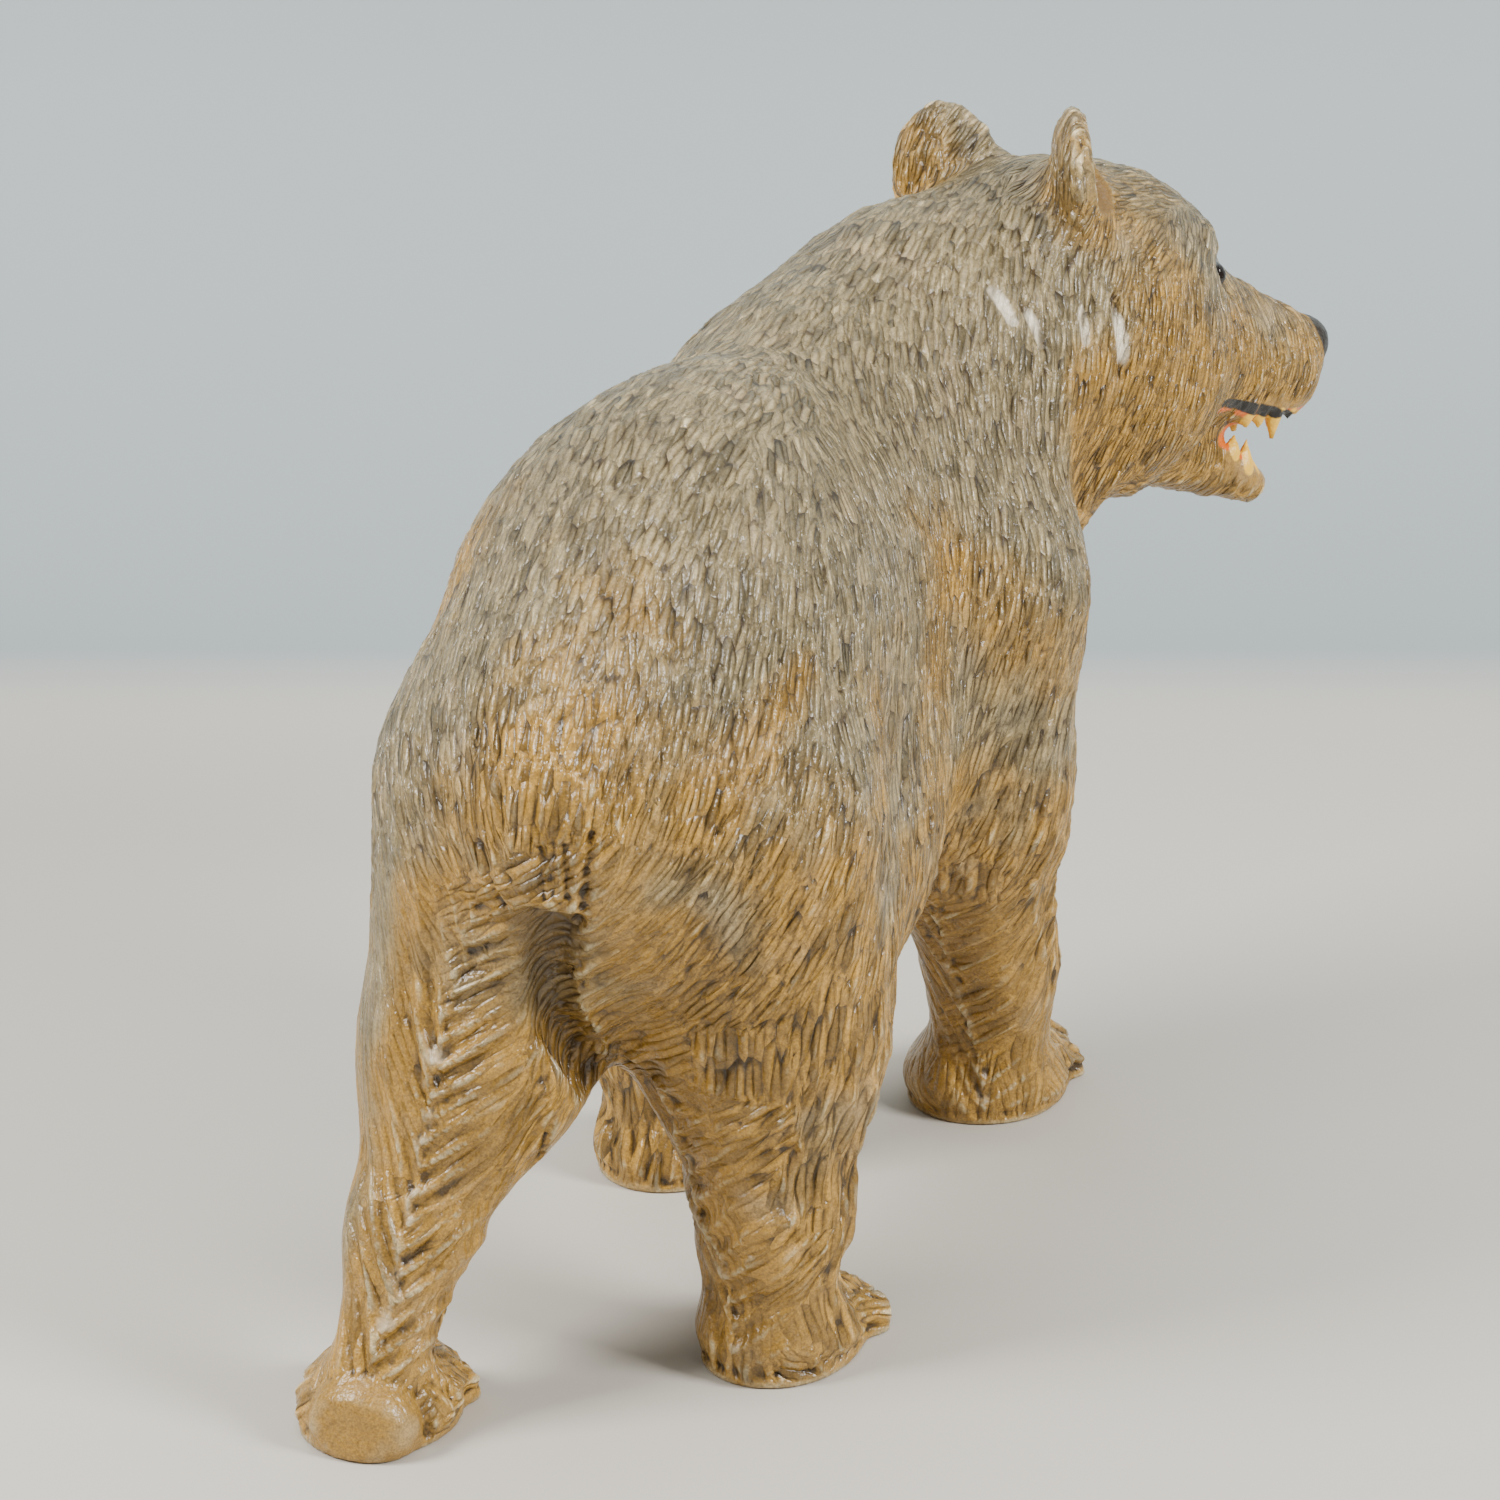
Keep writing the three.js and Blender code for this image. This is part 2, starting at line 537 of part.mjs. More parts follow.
// Edge collapse by quadric error down to a count of triangles. The weight of a place keeps detail there.
function simplify(points, faces, target, weightOf) {
  const count = points.length;
  const quadric = Array.from({ length: count }, () => new Float64Array(10));
  const ring = Array.from({ length: count }, () => new Set());
  const live = new Uint8Array(faces.length).fill(1);
  const stamp = new Int32Array(count);
  const normalOf = (a, b, c) => {
    const ux = b[0] - a[0];
    const uy = b[1] - a[1];
    const uz = b[2] - a[2];
    const vx = c[0] - a[0];
    const vy = c[1] - a[1];
    const vz = c[2] - a[2];
    return [uy * vz - uz * vy, uz * vx - ux * vz, ux * vy - uy * vx];
  };
  faces.forEach((face, index) => {
    const [a, b, c] = face.map((v) => points[v]);
    const n = normalOf(a, b, c);
    const area = Math.hypot(...n) || 1e-12;
    const [x, y, z] = n.map((v) => v / area);
    const w = -(x * a[0] + y * a[1] + z * a[2]);
    const weight = area * weightOf(a);
    const q = [x * x, x * y, x * z, x * w, y * y, y * z, y * w, z * z, z * w, w * w];
    for (const v of face) {
      ring[v].add(index);
      for (let i = 0; i < 10; i += 1) quadric[v][i] += q[i] * weight;
    }
  });
  const errorAt = (q, [x, y, z]) => (
    q[0] * x * x + 2 * q[1] * x * y + 2 * q[2] * x * z + 2 * q[3] * x + q[4] * y * y
    + 2 * q[5] * y * z + 2 * q[6] * y + q[7] * z * z + 2 * q[8] * z + q[9]
  );
  const best = (a, b) => {
    const q = quadric[a].map((v, i) => v + quadric[b][i]);
    const middle = points[a].map((v, i) => (v + points[b][i]) / 2);
    const choices = [middle, points[a], points[b]];
    const c00 = q[4] * q[7] - q[5] * q[5];
    const c01 = q[2] * q[5] - q[1] * q[7];
    const c02 = q[1] * q[5] - q[2] * q[4];
    const det = q[0] * c00 + q[1] * c01 + q[2] * c02;
    const scale = (q[0] + q[4] + q[7]) / 3;
    if (Math.abs(det) > 1e-3 * scale ** 3) {
      const c11 = q[0] * q[7] - q[2] * q[2];
      const c12 = q[1] * q[2] - q[0] * q[5];
      const c22 = q[0] * q[4] - q[1] * q[1];
      const x = -(c00 * q[3] + c01 * q[6] + c02 * q[8]) / det;
      const y = -(c01 * q[3] + c11 * q[6] + c12 * q[8]) / det;
      const z = -(c02 * q[3] + c12 * q[6] + c22 * q[8]) / det;
      const span = Math.hypot(...points[a].map((v, i) => v - points[b][i]));
      if (Math.hypot(x - middle[0], y - middle[1], z - middle[2]) < 1.5 * span) choices.push([x, y, z]);
    }
    let pick = choices[0];
    let error = Infinity;
    for (const choice of choices) {
      const e = errorAt(q, choice);
      if (e < error) {
        error = e;
        pick = choice;
      }
    }
    return { error: Math.max(error, 0), place: pick };
  };
  const heap = [];
  const push = (item) => {
    let i = heap.push(item) - 1;
    while (i > 0) {
      const up = (i - 1) >> 1;
      if (heap[up].error <= item.error) break;
      heap[i] = heap[up];
      i = up;
    }
    heap[i] = item;
  };
  const pop = () => {
    const top = heap[0];
    const last = heap.pop();
    if (heap.length > 0) {
      let i = 0;
      for (;;) {
        let down = 2 * i + 1;
        if (down >= heap.length) break;
        if (down + 1 < heap.length && heap[down + 1].error < heap[down].error) down += 1;
        if (heap[down].error >= last.error) break;
        heap[i] = heap[down];
        i = down;
      }
      heap[i] = last;
    }
    return top;
  };
  const offer = (a, b) => {
    const { error, place } = best(a, b);
    push({ error, place, a, b, sa: stamp[a], sb: stamp[b] });
  };
  faces.forEach(([a, b, c]) => {
    for (const [u, v] of [[a, b], [b, c], [c, a]]) if (u < v) offer(u, v);
  });
  const neighbours = (v) => {
    const found = new Set();
    for (const index of ring[v]) for (const w of faces[index]) if (w !== v) found.add(w);
    return found;
  };
  const keepsShape = (v, other, place) => {
    for (const index of ring[v]) {
      const face = faces[index];
      if (face.includes(other)) continue;
      const before = normalOf(...face.map((w) => points[w]));
      const after = normalOf(...face.map((w) => (w === v ? place : points[w])));
      const la = Math.hypot(...after);
      const lb = Math.hypot(...before);
      const dot = before[0] * after[0] + before[1] * after[1] + before[2] * after[2];
      if (la < 1e-3 || dot < 0.35 * la * lb) return false;
      const corners = face.map((w) => (w === v ? place : points[w]));
      const longest = Math.max(
        Math.hypot(...corners[0].map((c, i) => c - corners[1][i])),
        Math.hypot(...corners[1].map((c, i) => c - corners[2][i])),
        Math.hypot(...corners[2].map((c, i) => c - corners[0][i])),
      );
      if (la < 0.08 * longest * longest) return false;
    }
    return true;
  };
  let left = faces.length;
  while (left > target && heap.length > 0) {
    const { place, a, b, sa, sb } = pop();
    if (stamp[a] !== sa || stamp[b] !== sb) continue;
    const beside = neighbours(a);
    const shared = [...neighbours(b)].filter((v) => beside.has(v));
    if (shared.length !== 2 || !keepsShape(a, b, place) || !keepsShape(b, a, place)) continue;
    points[a] = place;
    for (const index of [...ring[b]]) {
      const face = faces[index];
      if (face.includes(a)) {
        live[index] = 0;
        left -= 1;
        for (const v of face) ring[v].delete(index);
      } else {
        face[face.indexOf(b)] = a;
        ring[b].delete(index);
        ring[a].add(index);
      }
    }
    for (let i = 0; i < 10; i += 1) quadric[a][i] += quadric[b][i];
    stamp[b] = -1;
    stamp[a] += 1;
    for (const v of neighbours(a)) offer(a, v);
  }
  return faces.filter((face, index) => live[index]);
}

const { Manifold, Mesh } = await Module().then((wasm) => {
  wasm.setup();
  return wasm;
});

function solidOf(points, faces) {
  return new Manifold(new Mesh({
    numProp: 3,
    vertProperties: new Float32Array(points.flat()),
    triVerts: new Uint32Array(faces.flat()),
  }));
}

// A box between two corners, for cutting the paws flat at the floor.
function boxBetween(low, high) {
  const points = [];
  for (let c = 0; c < 8; c += 1) points.push([0, 1, 2].map((axis) => ((c >> axis) & 1 ? high : low)[axis]));
  const faces = [
    [0, 2, 1], [1, 2, 3], [4, 5, 6], [5, 7, 6], [0, 1, 4], [1, 5, 4],
    [2, 6, 3], [3, 6, 7], [0, 4, 2], [2, 4, 6], [1, 3, 5], [3, 7, 5],
  ];
  return solidOf(points, faces);
}

function bear() {
  const raw = surface(ROOM.low, ROOM.high);
  const normals = raw.points.map((p) => outward(p[0], p[1], p[2]));
  const points = gouge(raw.points, normals);
  const weightOf = (p) => {
    if (p[2] < -2) return 0.2;
    const [f, , u] = inHead(p[0], p[1], p[2]);
    if (f > 40 && u > -100) return 12;
    return f > -35 && u > -60 ? 3 : 1;
  };
  const faces = simplify(points, raw.faces, TRIANGLES, weightOf);
  const used = new Map();
  const kept = [];
  const indexed = faces.map((face) => face.map((v) => {
    if (!used.has(v)) {
      used.set(v, kept.length);
      kept.push(points[v]);
    }
    return used.get(v);
  }));
  const below = boxBetween(ROOM.low, [ROOM.high[0], ROOM.high[1], 0]);
  const mesh = solidOf(kept, indexed).subtract(below).getMesh();
  const geometry = new THREE.BufferGeometry();
  geometry.setAttribute("position", new THREE.BufferAttribute(new Float32Array(mesh.vertProperties), 3));
  geometry.setIndex(new THREE.BufferAttribute(new Uint32Array(mesh.triVerts), 1));
  geometry.computeBoundingBox();
  const box = geometry.boundingBox;
  geometry.translate(-(box.min.x + box.max.x) / 2, -(box.min.y + box.max.y) / 2, 0);
  const size = LENGTH / (box.max.y - box.min.y);
  geometry.scale(size, size, size);
  geometry.computeVertexNormals();
  return geometry;
}

const group = new THREE.Group();
const material = new THREE.MeshStandardMaterial({ color: COLOUR, roughness: 0.55, metalness: 0 });
const solid = new THREE.Mesh(bear(), material);
solid.name = "bear";
group.add(solid);

export default group;
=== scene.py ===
import math

import bpy
import numpy as np
from mathutils import Matrix, Vector


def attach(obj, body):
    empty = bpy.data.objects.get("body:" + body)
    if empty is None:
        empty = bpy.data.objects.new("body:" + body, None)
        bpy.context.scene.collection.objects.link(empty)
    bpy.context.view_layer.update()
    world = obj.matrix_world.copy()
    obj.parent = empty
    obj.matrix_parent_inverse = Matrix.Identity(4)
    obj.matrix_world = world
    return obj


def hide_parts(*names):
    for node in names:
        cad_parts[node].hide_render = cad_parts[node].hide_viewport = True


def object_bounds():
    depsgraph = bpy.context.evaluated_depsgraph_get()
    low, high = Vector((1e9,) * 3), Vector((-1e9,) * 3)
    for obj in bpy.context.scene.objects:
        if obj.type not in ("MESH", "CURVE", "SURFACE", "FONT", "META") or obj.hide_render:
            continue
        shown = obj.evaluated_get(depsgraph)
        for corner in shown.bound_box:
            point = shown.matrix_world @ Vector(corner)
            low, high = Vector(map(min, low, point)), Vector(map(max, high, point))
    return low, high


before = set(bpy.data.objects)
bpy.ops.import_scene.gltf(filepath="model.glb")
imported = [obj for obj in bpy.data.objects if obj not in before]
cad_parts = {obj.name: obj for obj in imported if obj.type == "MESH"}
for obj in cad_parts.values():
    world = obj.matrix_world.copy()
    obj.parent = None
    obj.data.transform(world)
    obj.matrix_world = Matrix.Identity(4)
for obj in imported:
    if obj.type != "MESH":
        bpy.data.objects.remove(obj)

bl_info = {
    "name": "Carved bear",
    "version": (1, 0, 0),
    "blender": (4, 5, 0),
    "location": "3D View > Sidebar > Carved bear",
    "description": "A walking bear carved from wood with gouge-cut fur, and the stage it stands on",
    "category": "Object",
}

CAD_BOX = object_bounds()

# The form, in parts of the carving as it was laid out: the bear faces -Y and its left side is +X.

# Fillet widths where a part meets or is cut into what is there before it.
FILLET = {
    "torso": 30, "limb": 22, "knee": 14, "ankle": 12, "toe": 2.5, "heel": 2, "tail": 12, "tail_hollow": 5,
    "groove": 6, "ruff": 9, "head": 16, "forehead": 14, "cheek": 20, "muzzle": 16, "bridge": 10, "brow": 8,
    "jaw": 7, "nose": 4, "mouth": 2, "tongue": 2, "tooth": 1, "socket": 5, "eye": 1, "nostril": 1,
    "ear": 14, "ear_hollow": 3,
}

# Torso masses, centre and radii.
TORSO = [
    {"at": (0, 82, 190), "radii": (51, 71, 70)},
    {"at": (0, 50, 222), "radii": (55, 50, 50)},
    {"at": (0, 12, 202), "radii": (63, 98, 87)},
    {"at": (0, -78, 194), "radii": (60, 76, 88)},
    {"at": (0, -84, 249), "radii": (36, 54, 42)},
    {"at": (0, -10, 146), "radii": (63, 80, 52)},
    {"at": (-40, 22, 128), "radii": (24, 40, 30)},
]

# Nothing of the limbs lies above LIMB_TOP, and nothing of the head and ruff lies behind or below HEAD_FROM.
LIMB_TOP = 275
HEAD_FROM = {"y": -90, "z": 160}

# Limbs: left hind, right hind, left fore, right fore; joints with their radii, then the paw.
LIMBS = [
    {
        "joints": [(28, 90, 178, 43), (34, 109, 105, 32), (44, 136, 56, 17), (47, 152, 24, 14)],
        "paw": {"at": (51, 145, 7), "radii": (25, 30, 17), "turn": 0},
        "flare": 9,
    },
    {
        "joints": [(-32, 74, 170, 44), (-37, 63, 102, 36), (-43, 70, 48, 22), (-42, 72, 12, 19)],
        "paw": {"at": (-44, 58, 7), "radii": (24, 32, 16), "turn": -8},
        "flare": 14,
    },
    {
        "joints": [(40, -84, 185, 42), (42, -62, 115, 31), (40, -46, 48, 21), (38, -50, 14, 20)],
        "paw": {"at": (39, -58, 7), "radii": (25, 33, 18), "turn": 0},
        "flare": 14,
    },
    {
        "joints": [(-42, -98, 194, 45), (-44, -102, 125, 35), (-48, -130, 54, 21), (-45, -138, 14, 20)],
        "paw": {"at": (-41, -152, 7), "radii": (28, 37, 18), "turn": -8},
        "flare": 16,
    },
]
TOES = {"count": 5, "spread": 22, "reach": 0.8, "radii": (6, 10, 10), "z": 5, "top": 30}

# Neck: joints from the chest to the skull.
NECK = [(0, -96, 218, 55), (-20, -142, 254, 50), (-42, -170, 265, 44)]

# The head has its own frame: forward, to its right, up from the skull's middle.
HEAD_AT = (-48, -185, 285)
HEAD_YAW = math.radians(35)
HEAD_ROLL = math.radians(7)
SKULL = {"at": (-2, 0, -6), "radii": (48, 43, 40)}
FOREHEAD = {"at": (27, 0, -7), "radii": (33, 33, 31)}
CHEEK = {"at": (10, 23, -38), "radii": (36, 23, 36)}
BROW = {"at": (39, 16, 2), "radii": (11, 12, 8)}
MUZZLE = [(38, 0, -36, 31), (92, 0, -48, 18.5)]
BRIDGE = [(44, 0, -13, 13), (97, 0, -39, 9.5)]
NOSE = {"at": (107.5, 0, -41), "radii": (7, 10, 8)}
NOSTRIL = {"at": (113.5, 5, -42), "radii": (3, 3, 3)}
JAW = [(30, 0, -62, 19), (79, 0, -88, 7)]
PALATE = {"at": (80, 0, -68), "radii": (23, 12, 9)}
JAW_HOLLOW = {"at": (66, 0, -70), "radii": (20, 8, 7)}
TONGUE = [(52, 0, -70, 6), (74, 0, -79, 4)]
EYE_SOCKET = {"at": (55, 24, -11), "radii": (8, 6, 6)}
EYE = {"at": (50, 20, -11), "radii": (5, 5, 5)}
EAR = {"at": (-17, 35, 29), "radii": (9, 20, 24), "turn": 36}
EAR_HOLLOW = {"at": (-10, 40, 33), "radii": (7, 13, 16), "turn": 36}

# Teeth: root and tip in the head's frame, and radius at the root; each has its twin across.
TOOTH_TIP = 0.6
TEETH = [
    ((97, 5, -61), (97, 5, -66), 3.2),
    ((91, 9, -61), (91, 8.5, -66), 3.2),
    ((83, 10.5, -61), (82, 10, -72), 3.9),
    ((75, 12, -60), (75, 11.5, -67), 3.6),
    ((68, 13.5, -60), (68, 13, -66), 3.4),
    ((77, 4, -84), (77, 4, -77), 2.8),
    ((72, 7, -80), (73, 7, -71), 3.3),
    ((65, 9, -74), (66, 9, -68), 3),
]

# Tail, the hollow below it, the groove between the haunches, and the smooth pad of the lifted heel with the
# cut that dishes it: its depth, its radii over the pad's, and its place from the pad's middle.
TAIL = {"at": (-4, 144, 185), "radii": (19, 10, 24)}
TAIL_HOLLOW = {"at": (-5, 153, 156), "radii": (15, 10, 9)}
GROOVE = [
    (-5, 145, 158, 7),
    (1, 131, 137.5, 5),
    (3, 124, 122.5, 4.5),
    (1.5, 114, 109, 4.5),
    (0.5, 105, 98, 4),
]
HEEL_PAD = {"at": (47, 164, 8), "radii": (16, 12, 14)}
HEEL_DISH = {"depth": 3, "width": 0.8, "height": 0.62, "up": 2, "behind": 1}

# Ruff: pointed locks along the throat and the cheeks.
RUFF = [
    [(-70, -184, 232, 12), (-76, -176, 214, 5)],
    [(-58, -186, 226, 13), (-62, -176, 206, 5)],
    [(-44, -188, 222, 14), (-42, -174, 200, 6)],
    [(-30, -180, 222, 14), (-24, -166, 200, 6)],
    [(-62, -158, 218, 14), (-60, -148, 194, 6)],
    [(-12, -160, 222, 14), (-6, -150, 198, 6)],
]

# The chipped ridges down the backs of three legs, where the cuts meet in herringbone.
RIDGE_REACH = 34
RIDGE_FADE = 5
RIDGES = [
    [(19, 145, 164), (31, 141, 125), (36, 148, 88), (40, 160, 46), (46, 160, 20)],
    [(-18, 84, 90), (-23, 87, 57), (-33, 93, 41), (-38, 95, 10)],
    [(-42, -79, 92), (-41, -98, 66), (-44, -108, 45), (-51, -114, 7)],
]

# The line of the groove, and the flutes on the two sides of a ridge, towards -X and +X, and right of the
# groove: "rise" is for each step away, and "start" is how far from the line they begin.
GROOVE_LINE = [(-6, 143, 176), (1, 131, 137), (1, 112, 105), (-18, 84, 90)]
FLUTES_RIGHT = {"side": -1, "rise": 0.6, "pitch": 6.4, "length": 30, "depth": 2.3, "start": 0}
FLUTES_LEFT = {"side": 1, "rise": 2.1, "pitch": 5.6, "length": 64, "depth": 2.2, "start": 0}
FLUTES_RUMP = {"side": -1, "rise": 0.7, "pitch": 6.4, "length": 30, "depth": 2, "start": 5}

# Half width of a flute over its pitch, how much it bends over its length, and the seed of their variety.
FLUTE_HALF_WIDTH = 0.55
FLUTE_BEND = 0.1
FLUTE_SEED = 5

# The black line of the upper lip in the head's frame, with its radius, and how far below it the gum lies and
# how much narrower it is painted there than in the mouth.
LIP = [
    (47, 27, -53.5, 1.5),
    (55.6, 22.4, -55.5, 1.6),
    (65.2, 18.9, -58.1, 1.7),
    (76.1, 15.5, -60.9, 1.7),
    (91, 9, -64, 1.4),
]
GUM_DROP = 3.4
GUM_NARROWER = 1.6

# Creases beside the tail and between the locks at its end: start, end, half width, depth.
CREASES = [
    ((13, 152, 184), (8, 150, 162), 2.6, 2.2),
    ((-19.5, 151, 190), (-17, 150, 166), 2.6, 2.2),
    ((-3.2, 155.8, 188), (-2.8, 154, 171), 1.6, 1.3),
    ((-6.9, 156, 186), (-6.2, 154, 171), 1.6, 1.3),
    ((-10.2, 155.5, 188), (-9.5, 154, 171), 1.6, 1.3),
    ((-13.6, 154.7, 187), (-13, 153, 171), 1.6, 1.3),
]

# Long single cuts on the neck, pale as bare wood with a painted highlight along them, laid out like the
# creases.
NECK_CUTS = [
    ((-51, -108, 290), (-58, -107, 281), 2.6, 1.2),
    ((-60, -114, 285), (-67, -113, 272), 3, 1.4),
    ((-74, -132, 280), (-76, -130, 271), 1.6, 1),
    ((-81, -144, 282), (-85, -144, 258), 2.6, 1.4),
]

# Patches of honey-coloured stain behind the cheek, across the haunch and down the right hind leg. The backs
# of the ears have it too.
HONEY = [
    ((-76, -130, 264, 9), (-78, -148, 228, 12)),
    ((-56, 84, 220, 4), (-44, 122, 194, 7)),
    ((-30, 125, 150, 12), (-46, 98, 80, 10)),
]

# The back's grey olive stain down the outer side of the left hind leg, laid out like the honey patches.
SILVER = [((66, 128, 165, 14), (62, 154, 55, 9))]

# The stain by height: how high it would be all olive, how much warmer the front of the head is, between two
# distances forward, and each patch's share, which fades over the distances to it in PATCH_EDGE.
STAIN_TOP = 340
STAIN_HEAD = {"share": 0.25, "from": 120, "to": 180}
HONEY_SHARE = 0.3
SILVER_SHARE = 0.42
PATCH_EDGE = (-8, 4)

# Zones of the coat: below LEG_TOP the hair lies down the legs, and round each ankle out over the paw. The
# head's, for the lie and for the size of the cuts, lies ahead of "back" and over "chin" in its own frame and
# ahead of "y" in the figure's. From MUZZLE_FROM forward its hair hangs.
LEG_TOP = 120
PAW_ZONE = {"top": 26, "reach": 48}
COAT_HALF_WIDTH = 45
LIE_HEAD = {"back": -25, "chin": -75, "y": -118, "z": 225}
CUT_HEAD = {"back": -25, "chin": -80, "y": -110}
MUZZLE_FROM = 48

# Rise of the herringbone hair to the right and to the left of a ridge.
HERRINGBONE_RISE = (-0.65, -2.1)

# Gouge cuts: side of the cubes they are scattered in, the seeds of their two layers, and length, width and
# depth. The broad ones are given for body and legs, and for the head; the fine ones for back and sides, and
# for what is low.
BROAD_CELL = 12.5
BROAD_SEEDS = (11, 23)
BROAD_LENGTH = 24
BROAD_WIDTH = (9, 7.5)
BROAD_DEPTH = (0.5, 2)
BROAD_HEAD = {"width": 7, "depth": 0.5}
BROAD_LEG = (95, 125)
FINE_CELL = 7.5
FINE_SEEDS = (37, 41)
FINE_LENGTH = (12, 18)
FINE_WIDTH = (4.2, 5)
FINE_DEPTH = (0.8, 1)
FINE_LOW = {"below": 110, "width": 5, "depth": 0.6}

# Hair cuts: size of the patches in which they keep one direction, the seed of each of the two layers, length
# and width from the back down to the legs, and on the head and muzzle.
HAIR_PATCH = 26
HAIR_SEEDS = {"hair_a": 61, "hair_b": 73}
HAIR_LENGTH = (9.5, 15.5)
HAIR_WIDTH = (2.3, 2.9)
HAIR_FALL = (90, 200)
HAIR_HEAD = {"length": 8, "muzzle_length": 7, "muzzle": 50, "width": 1.8}

# Paints and worn places in the order they are laid on: "soft" is the width of the edge, and "past" is how far
# the paint passes the part it is on, both in parts of the carving. THIN_PAINT is how dark it is where thin.
PAINTS = {
    "ear": {"colour": (0.14, 0.075, 0.02), "rough": 0.5, "soft": 1.5, "cover": 0.6, "past": 1},
    "lid": {"colour": (0.03, 0.018, 0.01), "rough": 0.4, "soft": 1.5, "cover": 0.9, "past": 3},
    "gum": {"colour": (0.72, 0.13, 0), "rough": 0.35, "soft": 0.5, "cover": 0.95, "past": 3.4},
    "tooth": {"colour": (0.95, 0.56, 0.05), "rough": 0.4, "soft": 0.35, "cover": 1, "past": 0.5},
    "lip": {"colour": (0.003, 0.002, 0.002), "rough": 0.3, "soft": 0.6, "cover": 1, "past": 0.7},
    # Pale bare wood in the long neck cuts, with a painted highlight along them.
    "chip_and_glint": {"colour": (0.86, 0.76, 0.58), "rough": 0.3, "soft": 0.8, "cover": 0.95, "past": 2.4},
    "nose": {"colour": (0.012, 0.01, 0.01), "rough": 0.3, "soft": 0.5, "cover": 0.96, "past": 2.2},
    "eye": {"colour": (0.01, 0.006, 0.004), "rough": 0.12, "soft": 0.4, "cover": 1, "past": 0.9},
}
THIN_PAINT = 0.6

# Stains that the settings don't change, and the painted shade in the groove between the haunches and in the
# hollow under the tail.
CREASE_SHADE = (0.06, 0.032, 0.008, 1)
GRAIN_STAIN = (0.12, 0.07, 0.03, 1)
SPOT_STAIN = (0.42, 0.3, 0.16, 1)
RELIEF_HEIGHT = 0.0014

# A distance beyond all that count, in parts of the carving.
FAR = 1e3

# Box of the figure in parts, with a margin, the largest block of grid points that shares one distance, and
# the number of points that are worked out in one go.
GRID_LOW = (-134, -290, -6)
GRID_SPAN = (228, 478, 360)
GRID_BLOCK = 8
CHUNK = 1 << 15

# The stage, in metres: the point that the camera looks at, the sheet of floor and backdrop, the colour and
# strength of the light from all round, and how bright the air beyond the sheet is.
LOOK_AT = (0.0267, 0.0049, 0.1385)
SENSOR_MM = 36
SHEET = {"width": 6, "front": 6, "depth": 0.44, "height": 1.2, "bend": 0.25}
# Share of the wall's colour kept at its foot, as painted shade where the sheet bends up.
WALL_FOOT_SHADE = 0.78
AIR_COLOUR = (0.85, 0.9, 0.95, 1)
AIR_STRENGTH = 0.3
AIR_SEEN = 1.1

# Lamps, aimed at LAMP_AIM: how far they stand from it towards the camera, to its side and up.
LAMP_AIM = (0, 0, 0.15)
LAMPS = {
    "key": {"near": 0.5, "side": -1.1, "up": 0.75, "size": 0.5, "share": 0.8, "colour": (1, 0.97, 0.93)},
    "fill": {"near": 0.7, "side": 1.2, "up": 0.6, "size": 0.5, "share": 0.9, "colour": (1, 0.98, 0.95)},
    "top": {"near": 0, "side": 0, "up": 1.5, "size": 1.2, "share": 0.35, "colour": (0.95, 0.98, 1)},
}


def ellipsoid(x, y, z, part):
    """Distance to an ellipsoid: k (k - 1) / |p / r^2|, where k = |p / r| and p is the point in its axes."""
    rx, ry, rz = part["radii"]
    turn = math.radians(part.get("turn", 0))
    c, s = math.cos(turn), math.sin(turn)
    ax, ay, az = part["at"]
    dx, dy, dz = x - ax, y - ay, z - az
    px = (c * dx + s * dy) / rx
    py = (c * dy - s * dx) / ry
    pz = dz / rz
    near = np.sqrt(px * px + py * py + pz * pz)
    slope = np.sqrt((px / rx) ** 2 + (py / ry) ** 2 + (pz / rz) ** 2)
    return near * (near - 1) / np.maximum(slope, 1e-6)


def cone(x, y, z, a, b):
    """Distance to a round-ended cone: that to its nearer end ball or, between them, to its slanted flank."""
    bx, by, bz = b[0] - a[0], b[1] - a[1], b[2] - a[2]
    length2 = bx * bx + by * by + bz * bz
    taper = a[3] - b[3]
    flank2 = length2 - taper * taper
    px, py, pz = x - a[0], y - a[1], z - a[2]
    along = px * bx + py * by + pz * bz
    beyond = along - length2
    off2 = (px * px + py * py + pz * pz) * length2 - along * along
    off2 = np.maximum(off2, 0) * length2
    limit = math.copysign(taper * taper, taper) * off2
    past_b = np.sign(beyond) * flank2 * beyond * beyond * length2 > limit
    past_a = np.sign(along) * flank2 * along * along * length2 < limit
    at_b = np.sqrt(off2 + beyond * beyond * length2) / length2 - b[3]
    at_a = np.sqrt(off2 + along * along * length2) / length2 - a[3]
    flank = (np.sqrt(off2 * flank2 / length2) + along * taper) / length2 - a[3]
    return np.where(past_b, at_b, np.where(past_a, at_a, flank))


def nearest_of(point, line):
    """Distance to a bent bar: the least of those to the cones from each of its joints to the next."""
    return np.minimum.reduce([cone(*point, a, b) for a, b in zip(line, line[1:])])


def blend(a, b, width):
    """The smaller of two distances, less a fillet: h^2 width / 4, where h = 1 - |a - b| / width."""
    h = np.maximum(width - np.abs(a - b), 0) / width
    return np.minimum(a, b) - h * h * (width / 4)


def carve(a, b, width):
    """The first form with the second cut from it: the outside of the first blended with the second, and the
    whole turned inside out."""
    return -blend(-a, b, width)


def in_head(x, y, z):
    """A point in the head's frame: turned by the yaw about Z, then by the roll about the way it faces."""
    dx, dy, dz = x - HEAD_AT[0], y - HEAD_AT[1], z - HEAD_AT[2]
    right = dy * math.sin(HEAD_YAW) - dx * math.cos(HEAD_YAW)
    forward = -dx * math.sin(HEAD_YAW) - dy * math.cos(HEAD_YAW)
    across = right * math.cos(HEAD_ROLL) + dz * math.sin(HEAD_ROLL)
    up = dz * math.cos(HEAD_ROLL) - right * math.sin(HEAD_ROLL)
    return forward, across, up


